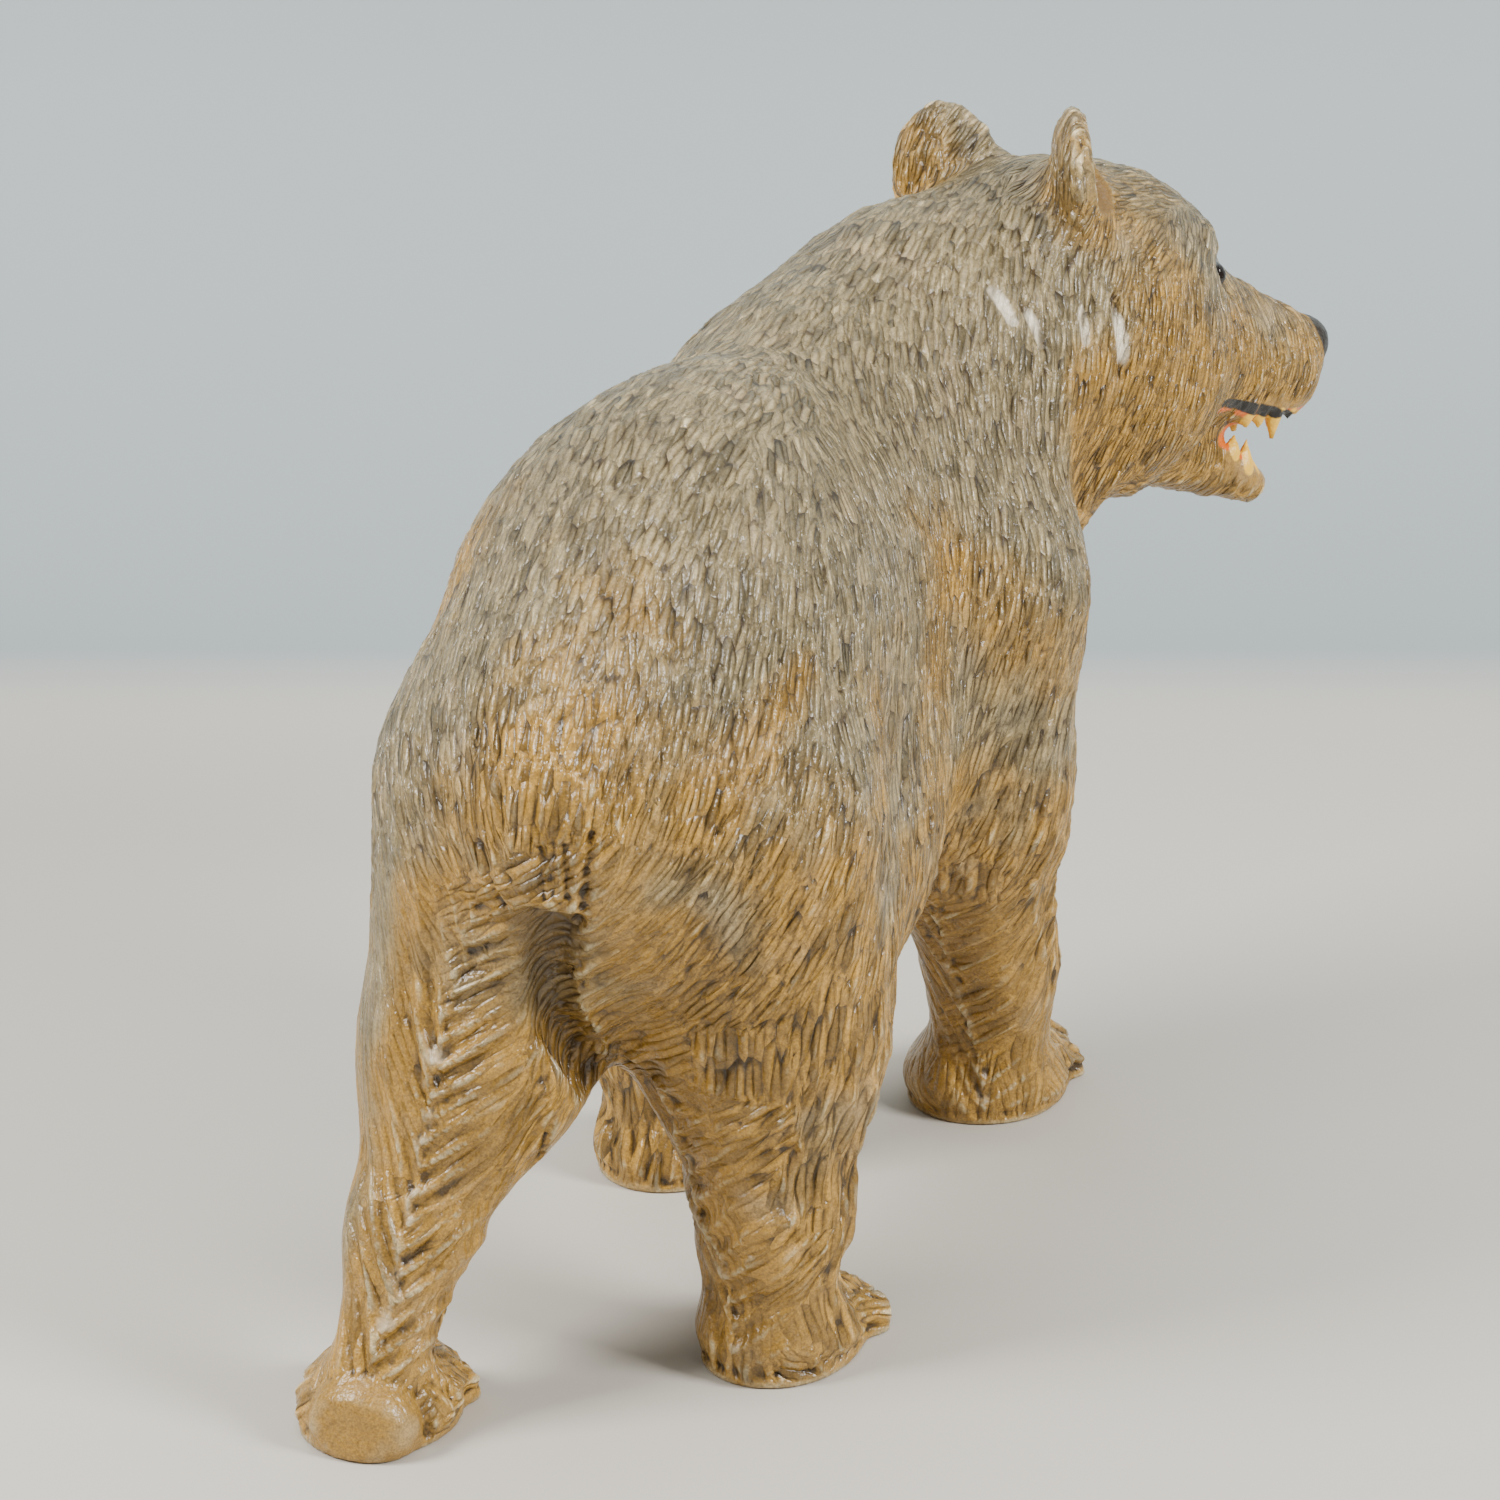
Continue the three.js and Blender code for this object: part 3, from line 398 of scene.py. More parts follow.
def teeth_form(f, s, u):
    """Distance to all teeth: the nearest of their cones, on both sides at once through |s|."""
    across = np.abs(s)
    d = np.full_like(f, FAR)
    for root, tip, radius in TEETH:
        d = np.minimum(d, cone(f, across, u, (*root, radius), (*tip, TOOTH_TIP)))
    return d


def head_form(f, s, u):
    """Distance to the head: skull, muzzle and jaw blended, hollows carved, then what stands in them."""
    across = np.abs(s)
    d = blend(ellipsoid(f, s, u, SKULL), ellipsoid(f, s, u, FOREHEAD), FILLET["forehead"])
    d = blend(d, ellipsoid(f, across, u, CHEEK), FILLET["cheek"])
    d = blend(d, cone(f, s, u, *MUZZLE), FILLET["muzzle"])
    d = blend(d, cone(f, s, u, *BRIDGE), FILLET["bridge"])
    d = blend(d, ellipsoid(f, across, u, BROW), FILLET["brow"])
    d = blend(d, cone(f, s, u, *JAW), FILLET["jaw"])
    d = blend(d, ellipsoid(f, s, u, NOSE), FILLET["nose"])
    d = carve(d, ellipsoid(f, s, u, PALATE), FILLET["mouth"])
    d = carve(d, ellipsoid(f, s, u, JAW_HOLLOW), FILLET["mouth"])
    d = blend(d, cone(f, s, u, *TONGUE), FILLET["tongue"])
    d = blend(d, teeth_form(f, s, u), FILLET["tooth"])
    d = carve(d, ellipsoid(f, across, u, EYE_SOCKET), FILLET["socket"])
    d = blend(d, ellipsoid(f, across, u, EYE), FILLET["eye"])
    d = carve(d, ellipsoid(f, across, u, NOSTRIL), FILLET["nostril"])
    d = blend(d, ellipsoid(f, across, u, EAR), FILLET["ear"])
    return carve(d, ellipsoid(f, across, u, EAR_HOLLOW), FILLET["ear_hollow"])


def toe_parts(paw):
    """The toes of a paw: small ellipsoids at equal angles round its middle, a little inside its edge."""
    middle = (TOES["count"] - 1) / 2
    rx, ry, _ = paw["radii"]
    for i in range(TOES["count"]):
        angle = (i - middle) * TOES["spread"]
        off = math.radians(angle)
        away = math.radians(paw["turn"] + angle)
        reach = TOES["reach"] * math.hypot(rx * math.sin(off), ry * math.cos(off))
        at = (paw["at"][0] + math.sin(away) * reach, paw["at"][1] - math.cos(away) * reach, TOES["z"])
        yield {"at": at, "radii": TOES["radii"], "turn": paw["turn"] + angle}


def limb_form(x, y, z, limb):
    """Distance to one limb: three blended cones, the paw's ellipsoid, and near the floor its toes."""
    a, b, c, d = limb["joints"]
    leg = blend(cone(x, y, z, a, b), cone(x, y, z, b, c), FILLET["knee"])
    leg = blend(leg, cone(x, y, z, c, d), FILLET["ankle"])
    leg = blend(leg, ellipsoid(x, y, z, limb["paw"]), limb["flare"])
    low = np.flatnonzero(z < TOES["top"])
    for toe in toe_parts(limb["paw"]):
        leg[low] = blend(leg[low], ellipsoid(x[low], y[low], z[low], toe), FILLET["toe"])
    return leg


def form(x, y, z):
    """Distance to the whole figure before it is cut flat at the floor, from all masses in turn."""
    d = ellipsoid(x, y, z, TORSO[0])
    for part in TORSO[1:]:
        d = blend(d, ellipsoid(x, y, z, part), FILLET["torso"])
    for a, b in zip(NECK, NECK[1:]):
        d = blend(d, cone(x, y, z, a, b), FILLET["torso"])
    i = np.flatnonzero(z < LIMB_TOP)
    near = (x[i], y[i], z[i])
    e = d[i]
    for limb in LIMBS:
        e = blend(e, limb_form(*near, limb), FILLET["limb"])
    e = blend(e, ellipsoid(*near, HEEL_PAD), FILLET["heel"])
    e = blend(e, ellipsoid(*near, TAIL), FILLET["tail"])
    e = carve(e, ellipsoid(*near, TAIL_HOLLOW), FILLET["tail_hollow"])
    d[i] = carve(e, nearest_of(near, GROOVE), FILLET["groove"])
    i = np.flatnonzero((y < HEAD_FROM["y"]) & (z > HEAD_FROM["z"]))
    near = (x[i], y[i], z[i])
    e = d[i]
    for a, b in RUFF:
        e = blend(e, cone(*near, a, b), FILLET["ruff"])
    d[i] = blend(e, head_form(*in_head(*near)), FILLET["head"])
    return d


def in_chunks(function, points):
    """A function of x, y, z at many points, a block of them at a time."""
    starts = range(0, len(points), CHUNK)
    return np.concatenate([function(*np.ascontiguousarray(points[i : i + CHUNK].T)) for i in starts])


def standing_form(x, y, z):
    """Distance to the figure cut flat at the floor: the greater of the form's and the depth below it."""
    return np.maximum(form(x, y, z), -z)


def distance_grid(cell):
    """The distance on a grid of points: blocks far from the surface keep the value at their middle,
    and the others are halved until they are single points."""
    low = np.array(GRID_LOW, float)
    block = GRID_BLOCK
    blocks = np.ceil(np.array(GRID_SPAN) / (cell * block)).astype(int)
    values = np.empty(blocks * block, np.float32)
    index = np.indices(blocks).reshape(3, -1).T
    while True:
        middle = low + (index * block + (block - 1) / 2) * cell
        d = in_chunks(standing_form, middle).astype(np.float32)
        nx, ny, nz = np.array(values.shape) // block
        view = values.reshape(nx, block, ny, block, nz, block)
        view[index[:, 0], :, index[:, 1], :, index[:, 2], :] = d[:, None, None, None]
        if block == 1:
            return values, low
        near = index[np.abs(d) < block * cell * 1.2 + 1.5]
        halves = np.indices((2, 2, 2)).reshape(3, -1).T
        index = (near[:, None, :] * 2 + halves[None]).reshape(-1, 3)
        block //= 2


def surface_net(values, low, cell):
    """One vertex in each cell that the surface crosses, at the mean of its edge crossings,
    and one quad across each grid edge whose ends lie on different sides."""
    inside = values < 0
    corners = np.indices((2, 2, 2)).reshape(3, -1).T
    span = np.array(values.shape) - 1

    def shifted(corner):
        return tuple(slice(o, o + n) for o, n in zip(corner, span))

    count = sum(inside[shifted(c)].astype(np.int8) for c in corners)
    cells = np.argwhere((count > 0) & (count < 8))
    number = np.full(values.shape, -1, np.int32)
    number[tuple(cells.T)] = np.arange(len(cells))
    value = [values[tuple((cells + c).T)] for c in corners]
    total = np.zeros((len(cells), 3))
    hits = np.zeros(len(cells))
    for i, a in enumerate(corners):
        for j, b in enumerate(corners):
            if (b - a).min() < 0 or (b - a).sum() != 1:
                continue
            cross = (value[i] < 0) != (value[j] < 0)
            share = value[i][cross] / (value[i][cross] - value[j][cross])
            total[cross] += a + share[:, None] * (b - a)
            hits[cross] += 1
    points = low + (cells + total / hits[:, None]) * cell
    quads = []
    for axis in range(3):
        u, v = np.eye(3, dtype=int)[(axis + 1) % 3], np.eye(3, dtype=int)[(axis + 2) % 3]
        first = [slice(1, n - 1) for n in values.shape]
        second = list(first)
        second[axis] = slice(2, values.shape[axis])
        start, end = inside[tuple(first)], inside[tuple(second)]
        base = np.argwhere(start != end) + 1
        quad = np.stack([number[tuple((base - o).T)] for o in (0 * u, u, u + v, v)], axis=1)
        turned = ~inside[tuple(base.T)]
        quad[turned] = quad[turned][:, ::-1]
        quads.append(quad)
    return points, np.concatenate(quads)


def outward(points):
    """Unit normals of the form: its differences over a step of one part along each axis."""
    here = in_chunks(form, points)
    slope = [in_chunks(form, points + axis) - here for axis in np.eye(3)]
    normal = np.stack(slope, axis=1)
    return normal / np.maximum(np.linalg.norm(normal, axis=1), 1e-9)[:, None]


def ramp(value, low, high):
    """0 below the low value and 1 above the high one, with an even slope between them."""
    return np.clip((value - low) / (high - low), 0, 1)


def line_at(line, z):
    """Place in plan of a falling line at each height."""
    line = np.array(line, float)[::-1]
    return np.interp(z, line[:, 2], line[:, 0]), np.interp(z, line[:, 2], line[:, 1])


def ridge_offset(x, y, z):
    """Distance in plan to the nearest leg ridge or the groove at its own height, and the x part of it;
    the groove counts only on its right side."""
    best = np.full_like(x, FAR)
    across = np.zeros_like(x)
    for line in RIDGES + [GROOVE_LINE]:
        at_x, at_y = line_at(line, z)
        dx = x - at_x
        away = np.hypot(dx, y - at_y)
        hit = (z <= line[0][2]) & (z >= line[-1][2]) & (away < best)
        hit &= (dx < 0) | (line is not GROOVE_LINE)
        best[hit] = away[hit]
        across[hit] = dx[hit]
    return best, across


def flute_depth(points, normals):
    """Depth of the flutes in rows along the ridges, and how far each point lies in a row. A flute starts at
    its line, climbs away from it, bends upward and fades out: depth (1 - a^2) (1 - b^2) with a and b the
    point's place along it in lengths and across it in half widths, and the level way taken along X. A row
    fades at the ends of its line, and the flutes' heights, slants, lengths and depths vary at random."""
    x, y, z = points.T
    depth = np.zeros(len(points))
    inside = np.zeros(len(points))
    random = np.random.default_rng(FLUTE_SEED)
    rows = [(ridge, flutes) for ridge in RIDGES for flutes in (FLUTES_RIGHT, FLUTES_LEFT)]
    rows.append((GROOVE_LINE, FLUTES_RUMP))
    for line, flutes in rows:
        pitch, length, start = flutes["pitch"], flutes["length"], flutes["start"]
        at_x, at_y = line_at(line, z)
        away = np.hypot(x - at_x, y - at_y)
        ends = ramp(line[0][2] + 14 - z, 0, 18) * ramp(z - line[-1][2] + 6, 0, 8)
        near = (ends > 0) & (away < 1.3 * RIDGE_REACH) & (flutes["side"] * (x - at_x) > start)
        i = np.flatnonzero(near & (normals[:, 1] > -0.25))
        s, h = np.maximum(np.abs(x - at_x)[i] - start, 0), z[i]
        tilt = math.atan(flutes["rise"])
        step = pitch / math.cos(tilt)
        half = pitch * FLUTE_HALF_WIDTH
        inside[i] = np.maximum(inside[i], ends[i] * (1 - ramp(s, length * 0.6, length)))
        for height in np.arange(line[-1][2] - 10, line[0][2], step):
            height = height + random.uniform(-0.15, 0.15) * step
            turned = tilt + random.normal(0, 0.05)
            reach = length * random.uniform(0.75, 1.1)
            along = s * math.cos(turned) + (h - height) * math.sin(turned)
            bend = FLUTE_BEND * along**2 / length
            across = ((h - height) * math.cos(turned) - s * math.sin(turned) - bend) / half
            cut = (1 - (along / reach) ** 2) * ramp(along, -1.5, 1.5) * (1 - across**2)
            cut = np.where(np.abs(across) < 1, cut, 0) * flutes["depth"] * random.uniform(0.8, 1.15)
            depth[i] = np.maximum(depth[i], cut * ends[i])
    return depth, inside


def crease_depth(points):
    """Depth of the single creases and of the dished heel: depth (1 - d^2) with d the distance to the line,
    or to the middle of the dish, in half widths."""
    x, y, z = points.T
    place, radii = HEEL_PAD["at"], HEEL_PAD["radii"]
    across = (x - place[0]) / (radii[0] * HEEL_DISH["width"])
    up = (z - place[2] - HEEL_DISH["up"]) / (radii[2] * HEEL_DISH["height"])
    depth = HEEL_DISH["depth"] * np.maximum(1 - across**2 - up**2, 0) * (y > place[1] + HEEL_DISH["behind"])
    for start, end, half, most in CREASES + NECK_CUTS:
        away = cone(*points.T, (*start, 0), (*end, 0)) / half
        depth = np.maximum(depth, most * (1 - away**2) * (away < 1))
    return depth


def lie_of(points, normals):
    """Which way the hair lies: back along the body, the more downward the steeper the side and the nearer
    the tail, where it also turns inward; down the legs; out from the ankle on the paws; in herringbone about
    each ridge; and on the head away from the nose, the more downward the steeper."""
    x, y, z = points.T
    steep = np.minimum(1, np.abs(normals[:, 0]) * 1.1 + ramp(y, 60, 150) * 0.8)
    off_middle = np.clip((x - TAIL["at"][0]) / COAT_HALF_WIDTH, -1, 1)
    inward = -off_middle * 0.55 * ramp(y, -40, 110)
    lie = np.stack([inward, 1 - 0.75 * steep, -0.15 - 0.9 * steep], axis=1)
    lie[z < LEG_TOP] = (0, 0.15, -1)
    best, across = ridge_offset(x, y, z)
    hit = (best < RIDGE_REACH) & (normals[:, 1] > -0.1)
    herringbone = np.stack([-np.sign(across), 0 * x, np.where(across < 0, *HERRINGBONE_RISE)], axis=1)
    lie[hit] = herringbone[hit]
    for limb in LIMBS:
        paw = limb["paw"]["at"]
        hit = (z < PAW_ZONE["top"]) & (np.hypot(x - paw[0], y - paw[1]) < PAW_ZONE["reach"])
        ankle = limb["joints"][3]
        lie[hit] = np.stack([x[hit] - ankle[0], y[hit] - ankle[1], 0 * x[hit] - 9], axis=1)
    f, _, u = in_head(x, y, z)
    head = (y < LIE_HEAD["y"]) & (z > LIE_HEAD["z"]) & (f > LIE_HEAD["back"]) & (u > LIE_HEAD["chin"])
    drop = 0.3 + 3 * np.maximum(ramp(1 - normals[:, 2], 0.35, 0.9), f > MUZZLE_FROM)
    lie[head] = np.stack([0 * f + math.sin(HEAD_YAW), 0 * f + math.cos(HEAD_YAW), -drop], axis=1)[head]
    return lie


def head_parts(x, y, z):
    """Distances to the painted parts of the head, in parts of the carving."""
    f, s, u = in_head(x, y, z)
    across = np.abs(s)
    return {
        "nose": ellipsoid(f, s, u, NOSE),
        "eye": ellipsoid(f, across, u, EYE),
        "palate": ellipsoid(f, s, u, PALATE),
        "jaw_hollow": ellipsoid(f, s, u, JAW_HOLLOW),
        "tongue": cone(f, s, u, *TONGUE),
        "teeth": teeth_form(f, s, u),
        "ear_hollow": ellipsoid(f, across, u, EAR_HOLLOW),
        "ear_back": ellipsoid(f, across, u, EAR),
        "lip": nearest_of((f, across, u), LIP),
        "gum": nearest_of((f, across, u + GUM_DROP), LIP),
    }


def cut_share(points):
    """How deep the cuts may go: not at all on soles, the heel pad, eyes, nose and mouth, and little in the
    ears."""
    x, y, z = points.T
    share = ramp(z, 0.5, 4) * ramp(ellipsoid(x, y, z, HEEL_PAD), 0, 3)
    part = head_parts(x, y, z)
    mouth = np.minimum(np.minimum(part["palate"], part["jaw_hollow"]), part["teeth"])
    for value, reach in ((part["eye"], 5), (part["nose"], 4), (mouth, 5)):
        share = share * ramp(value, 0.5, reach)
    return share * (0.3 + 0.7 * ramp(part["ear_hollow"], 0, 3))


def one_per_cell(points, size, seed):
    """One vertex chosen at random in each cube of the given size; a seeded shuffle decides which."""
    order = np.random.default_rng(seed).permutation(len(points))
    cube = np.floor(points[order] / size).astype(np.int64)
    key = (cube[:, 0] * 4096 + cube[:, 1]) * 4096 + cube[:, 2]
    _, first = np.unique(key, return_index=True)
    return order[first]


def cut_depth(points, normals, lies, size_of, cell, seed):
    """Depth of the gouge cuts at each point: depth (1 - a^2 - b^2) of the deepest cut over it, where a and b
    are its place along and across the cut in half lengths and half widths, and b grows along the cut, which
    makes it narrower towards its end. Ways, lengths, widths and depths vary at random."""
    chosen = one_per_cell(points, cell, seed)
    at, out = points[chosen], normals[chosen]
    along = lies[chosen] - out * (lies[chosen] * out).sum(1)[:, None]
    along /= np.maximum(np.linalg.norm(along, axis=1), 1e-6)[:, None]
    random = np.random.default_rng(seed + 1)
    turn = random.normal(0, 0.14, len(chosen))[:, None]
    across = np.cross(out, along)
    along = along * np.cos(turn) + across * np.sin(turn)
    across = np.cross(out, along)
    length, width, depth = size_of(at, out)
    vary = random.uniform(0.8, 1.25, (3, len(chosen)))
    along = along / (length * vary[0] / 2)[:, None]
    across = across / (width * vary[1] / 2)[:, None]
    depth = depth * vary[2]
    reach = width * 0.8

    cube_low = np.floor(points.min(0) / cell).astype(int) - 1
    span = np.floor(points.max(0) / cell).astype(int) + 2 - cube_low
    table = np.full(span, -1, np.int32)
    table[tuple((np.floor(at / cell).astype(int) - cube_low).T)] = np.arange(len(chosen))
    cube = np.floor(points / cell).astype(int) - cube_low
    deepest = np.zeros(len(points))
    for offset in np.indices((3, 3, 3)).reshape(3, -1).T - 1:
        found = table[tuple((cube + offset).T)]
        i = np.flatnonzero(found >= 0)
        k = found[i]
        d = points[i] - at[k]
        a = np.einsum("ij,ij->i", d, along[k])
        b = np.einsum("ij,ij->i", d, across[k]) * (1 + 0.3 * a)
        c = np.einsum("ij,ij->i", d, out[k])
        cut = depth[k] * (1 - a * a - b * b)
        cut[np.abs(c) > reach[k]] = 0
        deepest[i] = np.maximum(deepest[i], cut)
    return deepest


def fine_size(at, out):
    """Length, width and depth of the fine cuts: short on back and head, longer on the sides, shallow low."""
    side = ramp(np.abs(out[:, 0]), 0.3, 0.8)
    low = at[:, 2] < FINE_LOW["below"]
    width = np.where(low, FINE_LOW["width"], np.interp(side, (0, 1), FINE_WIDTH))
    depth = np.where(low, FINE_LOW["depth"], np.interp(side, (0, 1), FINE_DEPTH))
    return np.interp(side, (0, 1), FINE_LENGTH), width, depth


def broad_size(at, out):
    """Length, width and depth of the broad cuts: shallow facets on body and head, deeper on the legs."""
    leg = 1 - ramp(at[:, 2], *BROAD_LEG)
    f, _, u = in_head(*at.T)
    head = (f > CUT_HEAD["back"]) & (u > CUT_HEAD["chin"])
    width = np.where(head, BROAD_HEAD["width"], np.interp(leg, (0, 1), BROAD_WIDTH))
    depth = np.where(head, BROAD_HEAD["depth"], np.interp(leg, (0, 1), BROAD_DEPTH))
    return np.full(len(at), BROAD_LENGTH), width, depth


def hair_size(at):
    """Length and width of the hair cuts: short and fine on the head, longer and wider down to the legs."""
    f, _, u = in_head(*at.T)
    head = (f > CUT_HEAD["back"]) & (u > CUT_HEAD["chin"]) & (at[:, 1] < CUT_HEAD["y"])
    low = 1 - ramp(at[:, 2], *HAIR_FALL)
    on_head = np.where(f > HAIR_HEAD["muzzle"], HAIR_HEAD["muzzle_length"], HAIR_HEAD["length"])
    length = np.where(head, on_head, np.interp(low, (0, 1), HAIR_LENGTH))
    return length, np.where(head, HAIR_HEAD["width"], np.interp(low, (0, 1), HAIR_WIDTH))


def hair_layer(points, normals, faces, patch, seed):
    """Hair cuts laid out patch by patch: each face takes the nearest of the patches, which are points chosen
    one to a cube, and each of its corners gets its place along and across that patch's hair, in cuts, and
    how far it lies inside the patch: half the gap between the two nearest, over the patch's size."""
    chosen = one_per_cell(points, patch, seed)
    at, out = points[chosen], normals[chosen]
    lies = lie_of(at, out)
    along = lies - out * (lies * out).sum(1)[:, None]
    along /= np.maximum(np.linalg.norm(along, axis=1), 1e-6)[:, None]
    across = np.cross(out, along)
    length, width = hair_size(at)
    shift = np.random.default_rng(seed + 1).uniform(10, 90, (2, len(at)))
    cube_low = np.floor(points.min(0) / patch).astype(int) - 1
    table = np.full(np.floor(points.max(0) / patch).astype(int) + 2 - cube_low, -1, np.int32)
    table[tuple((np.floor(at / patch).astype(int) - cube_low).T)] = np.arange(len(at))

    def nearest(places, facing):
        cube = np.floor(places / patch).astype(int) - cube_low
        best = np.full(len(places), FAR**2)
        second = best.copy()
        owner = np.zeros(len(places), np.int32)
        for offset in np.indices((3, 3, 3)).reshape(3, -1).T - 1:
            found = table[tuple((cube + offset).T)]
            away = ((places - at[found]) ** 2).sum(1) + patch**2 * (1 - (facing * out[found]).sum(1))
            away[found < 0] = FAR**2
            closer = away < best
            second = np.where(closer, best, np.minimum(second, away))
            owner = np.where(closer, found, owner)
            best = np.minimum(best, away)
        return owner, ramp((second - best) / (2 * patch), 0, 2.5)

    owner, _ = nearest(points[faces].mean(1), normals[faces].mean(1))
    _, inside = nearest(points, normals)
    owner = np.repeat(owner, 3)
    corner = faces.ravel()
    d = points[corner] - at[owner]
    u = (d * along[owner]).sum(1) / length[owner] + shift[0][owner]
    v = (d * across[owner]).sum(1) / width[owner] + shift[1][owner]
    return np.stack([u, v, inside[corner]], axis=1)


def deepest_cuts(points, normals, lies, size_of, cell, seeds):
    """The deeper of two layers of gouge cuts, each scattered from a seed of its own."""
    return np.maximum(*(cut_depth(points, normals, lies, size_of, cell, seed) for seed in seeds))


def carved_surface(cell):
    """The figure's surface, sunk along its normals by the broad and fine cuts, the flutes and the creases,
    and the bounds that it had before."""
    values, low = distance_grid(cell)
    points, quads = surface_net(values, low, cell)
    normals = outward(points)
    lies = lie_of(points, normals)
    broad = deepest_cuts(points, normals, lies, broad_size, BROAD_CELL, BROAD_SEEDS)
    flutes, inside = flute_depth(points, normals)
    fine = deepest_cuts(points, normals, lies, fine_size, FINE_CELL, FINE_SEEDS)
    depth = broad * (1 - inside) + flutes + fine * (1 - 0.7 * inside)
    depth = depth * cut_share(points) + crease_depth(points)
    bounds = points.min(0), points.max(0)
    points = points - normals * depth[:, None]
    points[:, 2] = np.maximum(points[:, 2], 0)
    return points, quads, bounds


def fit_to_frame(low, high):
    """Even scale from the figure's bounds to the CAD box's length, and the offset that sets their middles
    over each other."""
    scale = (CAD_BOX[1][1] - CAD_BOX[0][1]) / (high[1] - low[1])
    middle = (low + high) / 2
    target = (np.array(CAD_BOX[0]) + np.array(CAD_BOX[1])) / 2
    offset = np.array([middle[0], middle[1], 0]) * scale - np.array([target[0], target[1], 0])
    return scale, offset


def mesh_from(name, points, quads):
    """A mesh with shared vertices from arrays of points and of quads."""
    mesh = bpy.data.meshes.new(name)
    mesh.vertices.add(len(points))
    mesh.vertices.foreach_set("co", points.astype(np.float32).ravel())
    mesh.loops.add(quads.size)
    mesh.loops.foreach_set("vertex_index", quads.astype(np.int32).ravel())
    mesh.polygons.add(len(quads))
    mesh.polygons.foreach_set("loop_start", np.arange(0, quads.size, 4, dtype=np.int32))
    mesh.update(calc_edges=True)
    mesh.validate()
    return mesh


def thinned(piece, most):
    """The piece with edges collapsed to at most a number of triangles, with the modifier's result kept."""
    triangles = sum(len(p.vertices) - 2 for p in piece.data.polygons)
    modifier = piece.modifiers.new("Thin", "DECIMATE")
    modifier.ratio = min(1, most / triangles)
    modifier.use_collapse_triangulate = True
    graph = bpy.context.evaluated_depsgraph_get()
    mesh = bpy.data.meshes.new_from_object(piece.evaluated_get(graph), depsgraph=graph)
    piece.modifiers.clear()
    old = piece.data
    piece.data = mesh
    bpy.data.meshes.remove(old)


def hollowness(mesh, points, normals):
    """Curvature of the carved surface at each vertex, positive in cuts and negative on crests: the mean step
    to its neighbours along the normal, over the mean squared length of the steps, evened out once."""
    edges = np.empty(len(mesh.edges) * 2, np.int32)
    mesh.edges.foreach_get("vertices", edges)
    a, b = edges.reshape(-1, 2).T
    n = len(points)
    step = points[b] - points[a]
    count = np.bincount(a, minlength=n) + np.bincount(b, minlength=n)
    rise = np.bincount(a, (step * normals[a]).sum(1), n) - np.bincount(b, (step * normals[b]).sum(1), n)
    square = (step**2).sum(1)
    square = np.bincount(a, square, n) + np.bincount(b, square, n)
    bent = 4 * rise / np.maximum(square, 1e-9)
    around = (np.bincount(a, bent[b], n) + np.bincount(b, bent[a], n)) / np.maximum(count, 1)
    return 0.5 * bent + 0.5 * around


def write_marks(mesh, points):
    """Attributes that the material reads: at each corner the place in two layers of hair, and at each vertex
    how hollow and how bald the surface is, how olive its stain is, how near it lies to the painted shade of
    the groove and the tail's hollow, and how far it lies inside each painted or worn part, the pale neck cuts
    with their painted highlight among them, in parts of the carving."""
    x, y, z = points.T
    normals = outward(points)
    faces = np.empty(len(mesh.loops), np.int32)
    mesh.loops.foreach_get("vertex_index", faces)
    for name, seed in HAIR_SEEDS.items():
        layer = hair_layer(points, normals, faces.reshape(-1, 3), HAIR_PATCH, seed)
        attribute = mesh.attributes.new(name, "FLOAT_VECTOR", "CORNER")
        attribute.data.foreach_set("vector", layer.astype(np.float32).ravel())

    part = head_parts(x, y, z)
    mouth = np.minimum.reduce([part["palate"], part["jaw_hollow"], part["tongue"]])
    away = {
        "ear": part["ear_hollow"],
        "lid": part["eye"],
        "gum": np.minimum(mouth, part["gum"] + GUM_NARROWER),
        "tooth": part["teeth"],
        "lip": part["lip"],
        # Pale bare wood in the long neck cuts, with a painted highlight along them.
        "chip_and_glint": np.minimum.reduce([cone(x, y, z, (*a, 0), (*b, 0)) for a, b, _, _ in NECK_CUTS]),
        "nose": part["nose"],
        "eye": part["eye"],
    }
    marks = {name: paint["past"] - away[name] for name, paint in PAINTS.items()}
    ridge = np.full(len(points), FAR)
    for line in RIDGES:
        at_x, at_y = line_at(line, z)
        beside = np.hypot(x - at_x, y - at_y) + FAR * ((z > line[0][2]) | (z < line[-1][2]))
        ridge = np.minimum(ridge, beside)
    # Painted shade near the groove between the haunches and the hollow under the tail: the nearer, the
    # darker.
    crease_shade = np.minimum(nearest_of((x, y, z), GROOVE), ellipsoid(x, y, z, TAIL_HOLLOW))
    honey = np.minimum.reduce([cone(x, y, z, a, b) for a, b in HONEY] + [part["ear_back"]])
    silver = np.minimum.reduce([cone(x, y, z, a, b) for a, b in SILVER])
    marks["cut"] = hollowness(mesh, points, normals)
    marks["bald"] = 1 - cut_share(points)
    marks["flute"] = flute_depth(points, normals)[1]
    marks["ridge"] = 1 - ridge / RIDGE_FADE
    marks["crease_shade"] = 1 - crease_shade / RIDGE_FADE
    marks["height"] = z / STAIN_TOP - STAIN_HEAD["share"] * ramp(-y, STAIN_HEAD["from"], STAIN_HEAD["to"])
    marks["height"] -= HONEY_SHARE * ramp(-honey, *PATCH_EDGE)
    marks["height"] += SILVER_SHARE * ramp(-silver, *PATCH_EDGE)
    for name, value in marks.items():
        attribute = mesh.attributes.new(name, "FLOAT", "POINT")
        attribute.data.foreach_set("value", value.astype(np.float32))


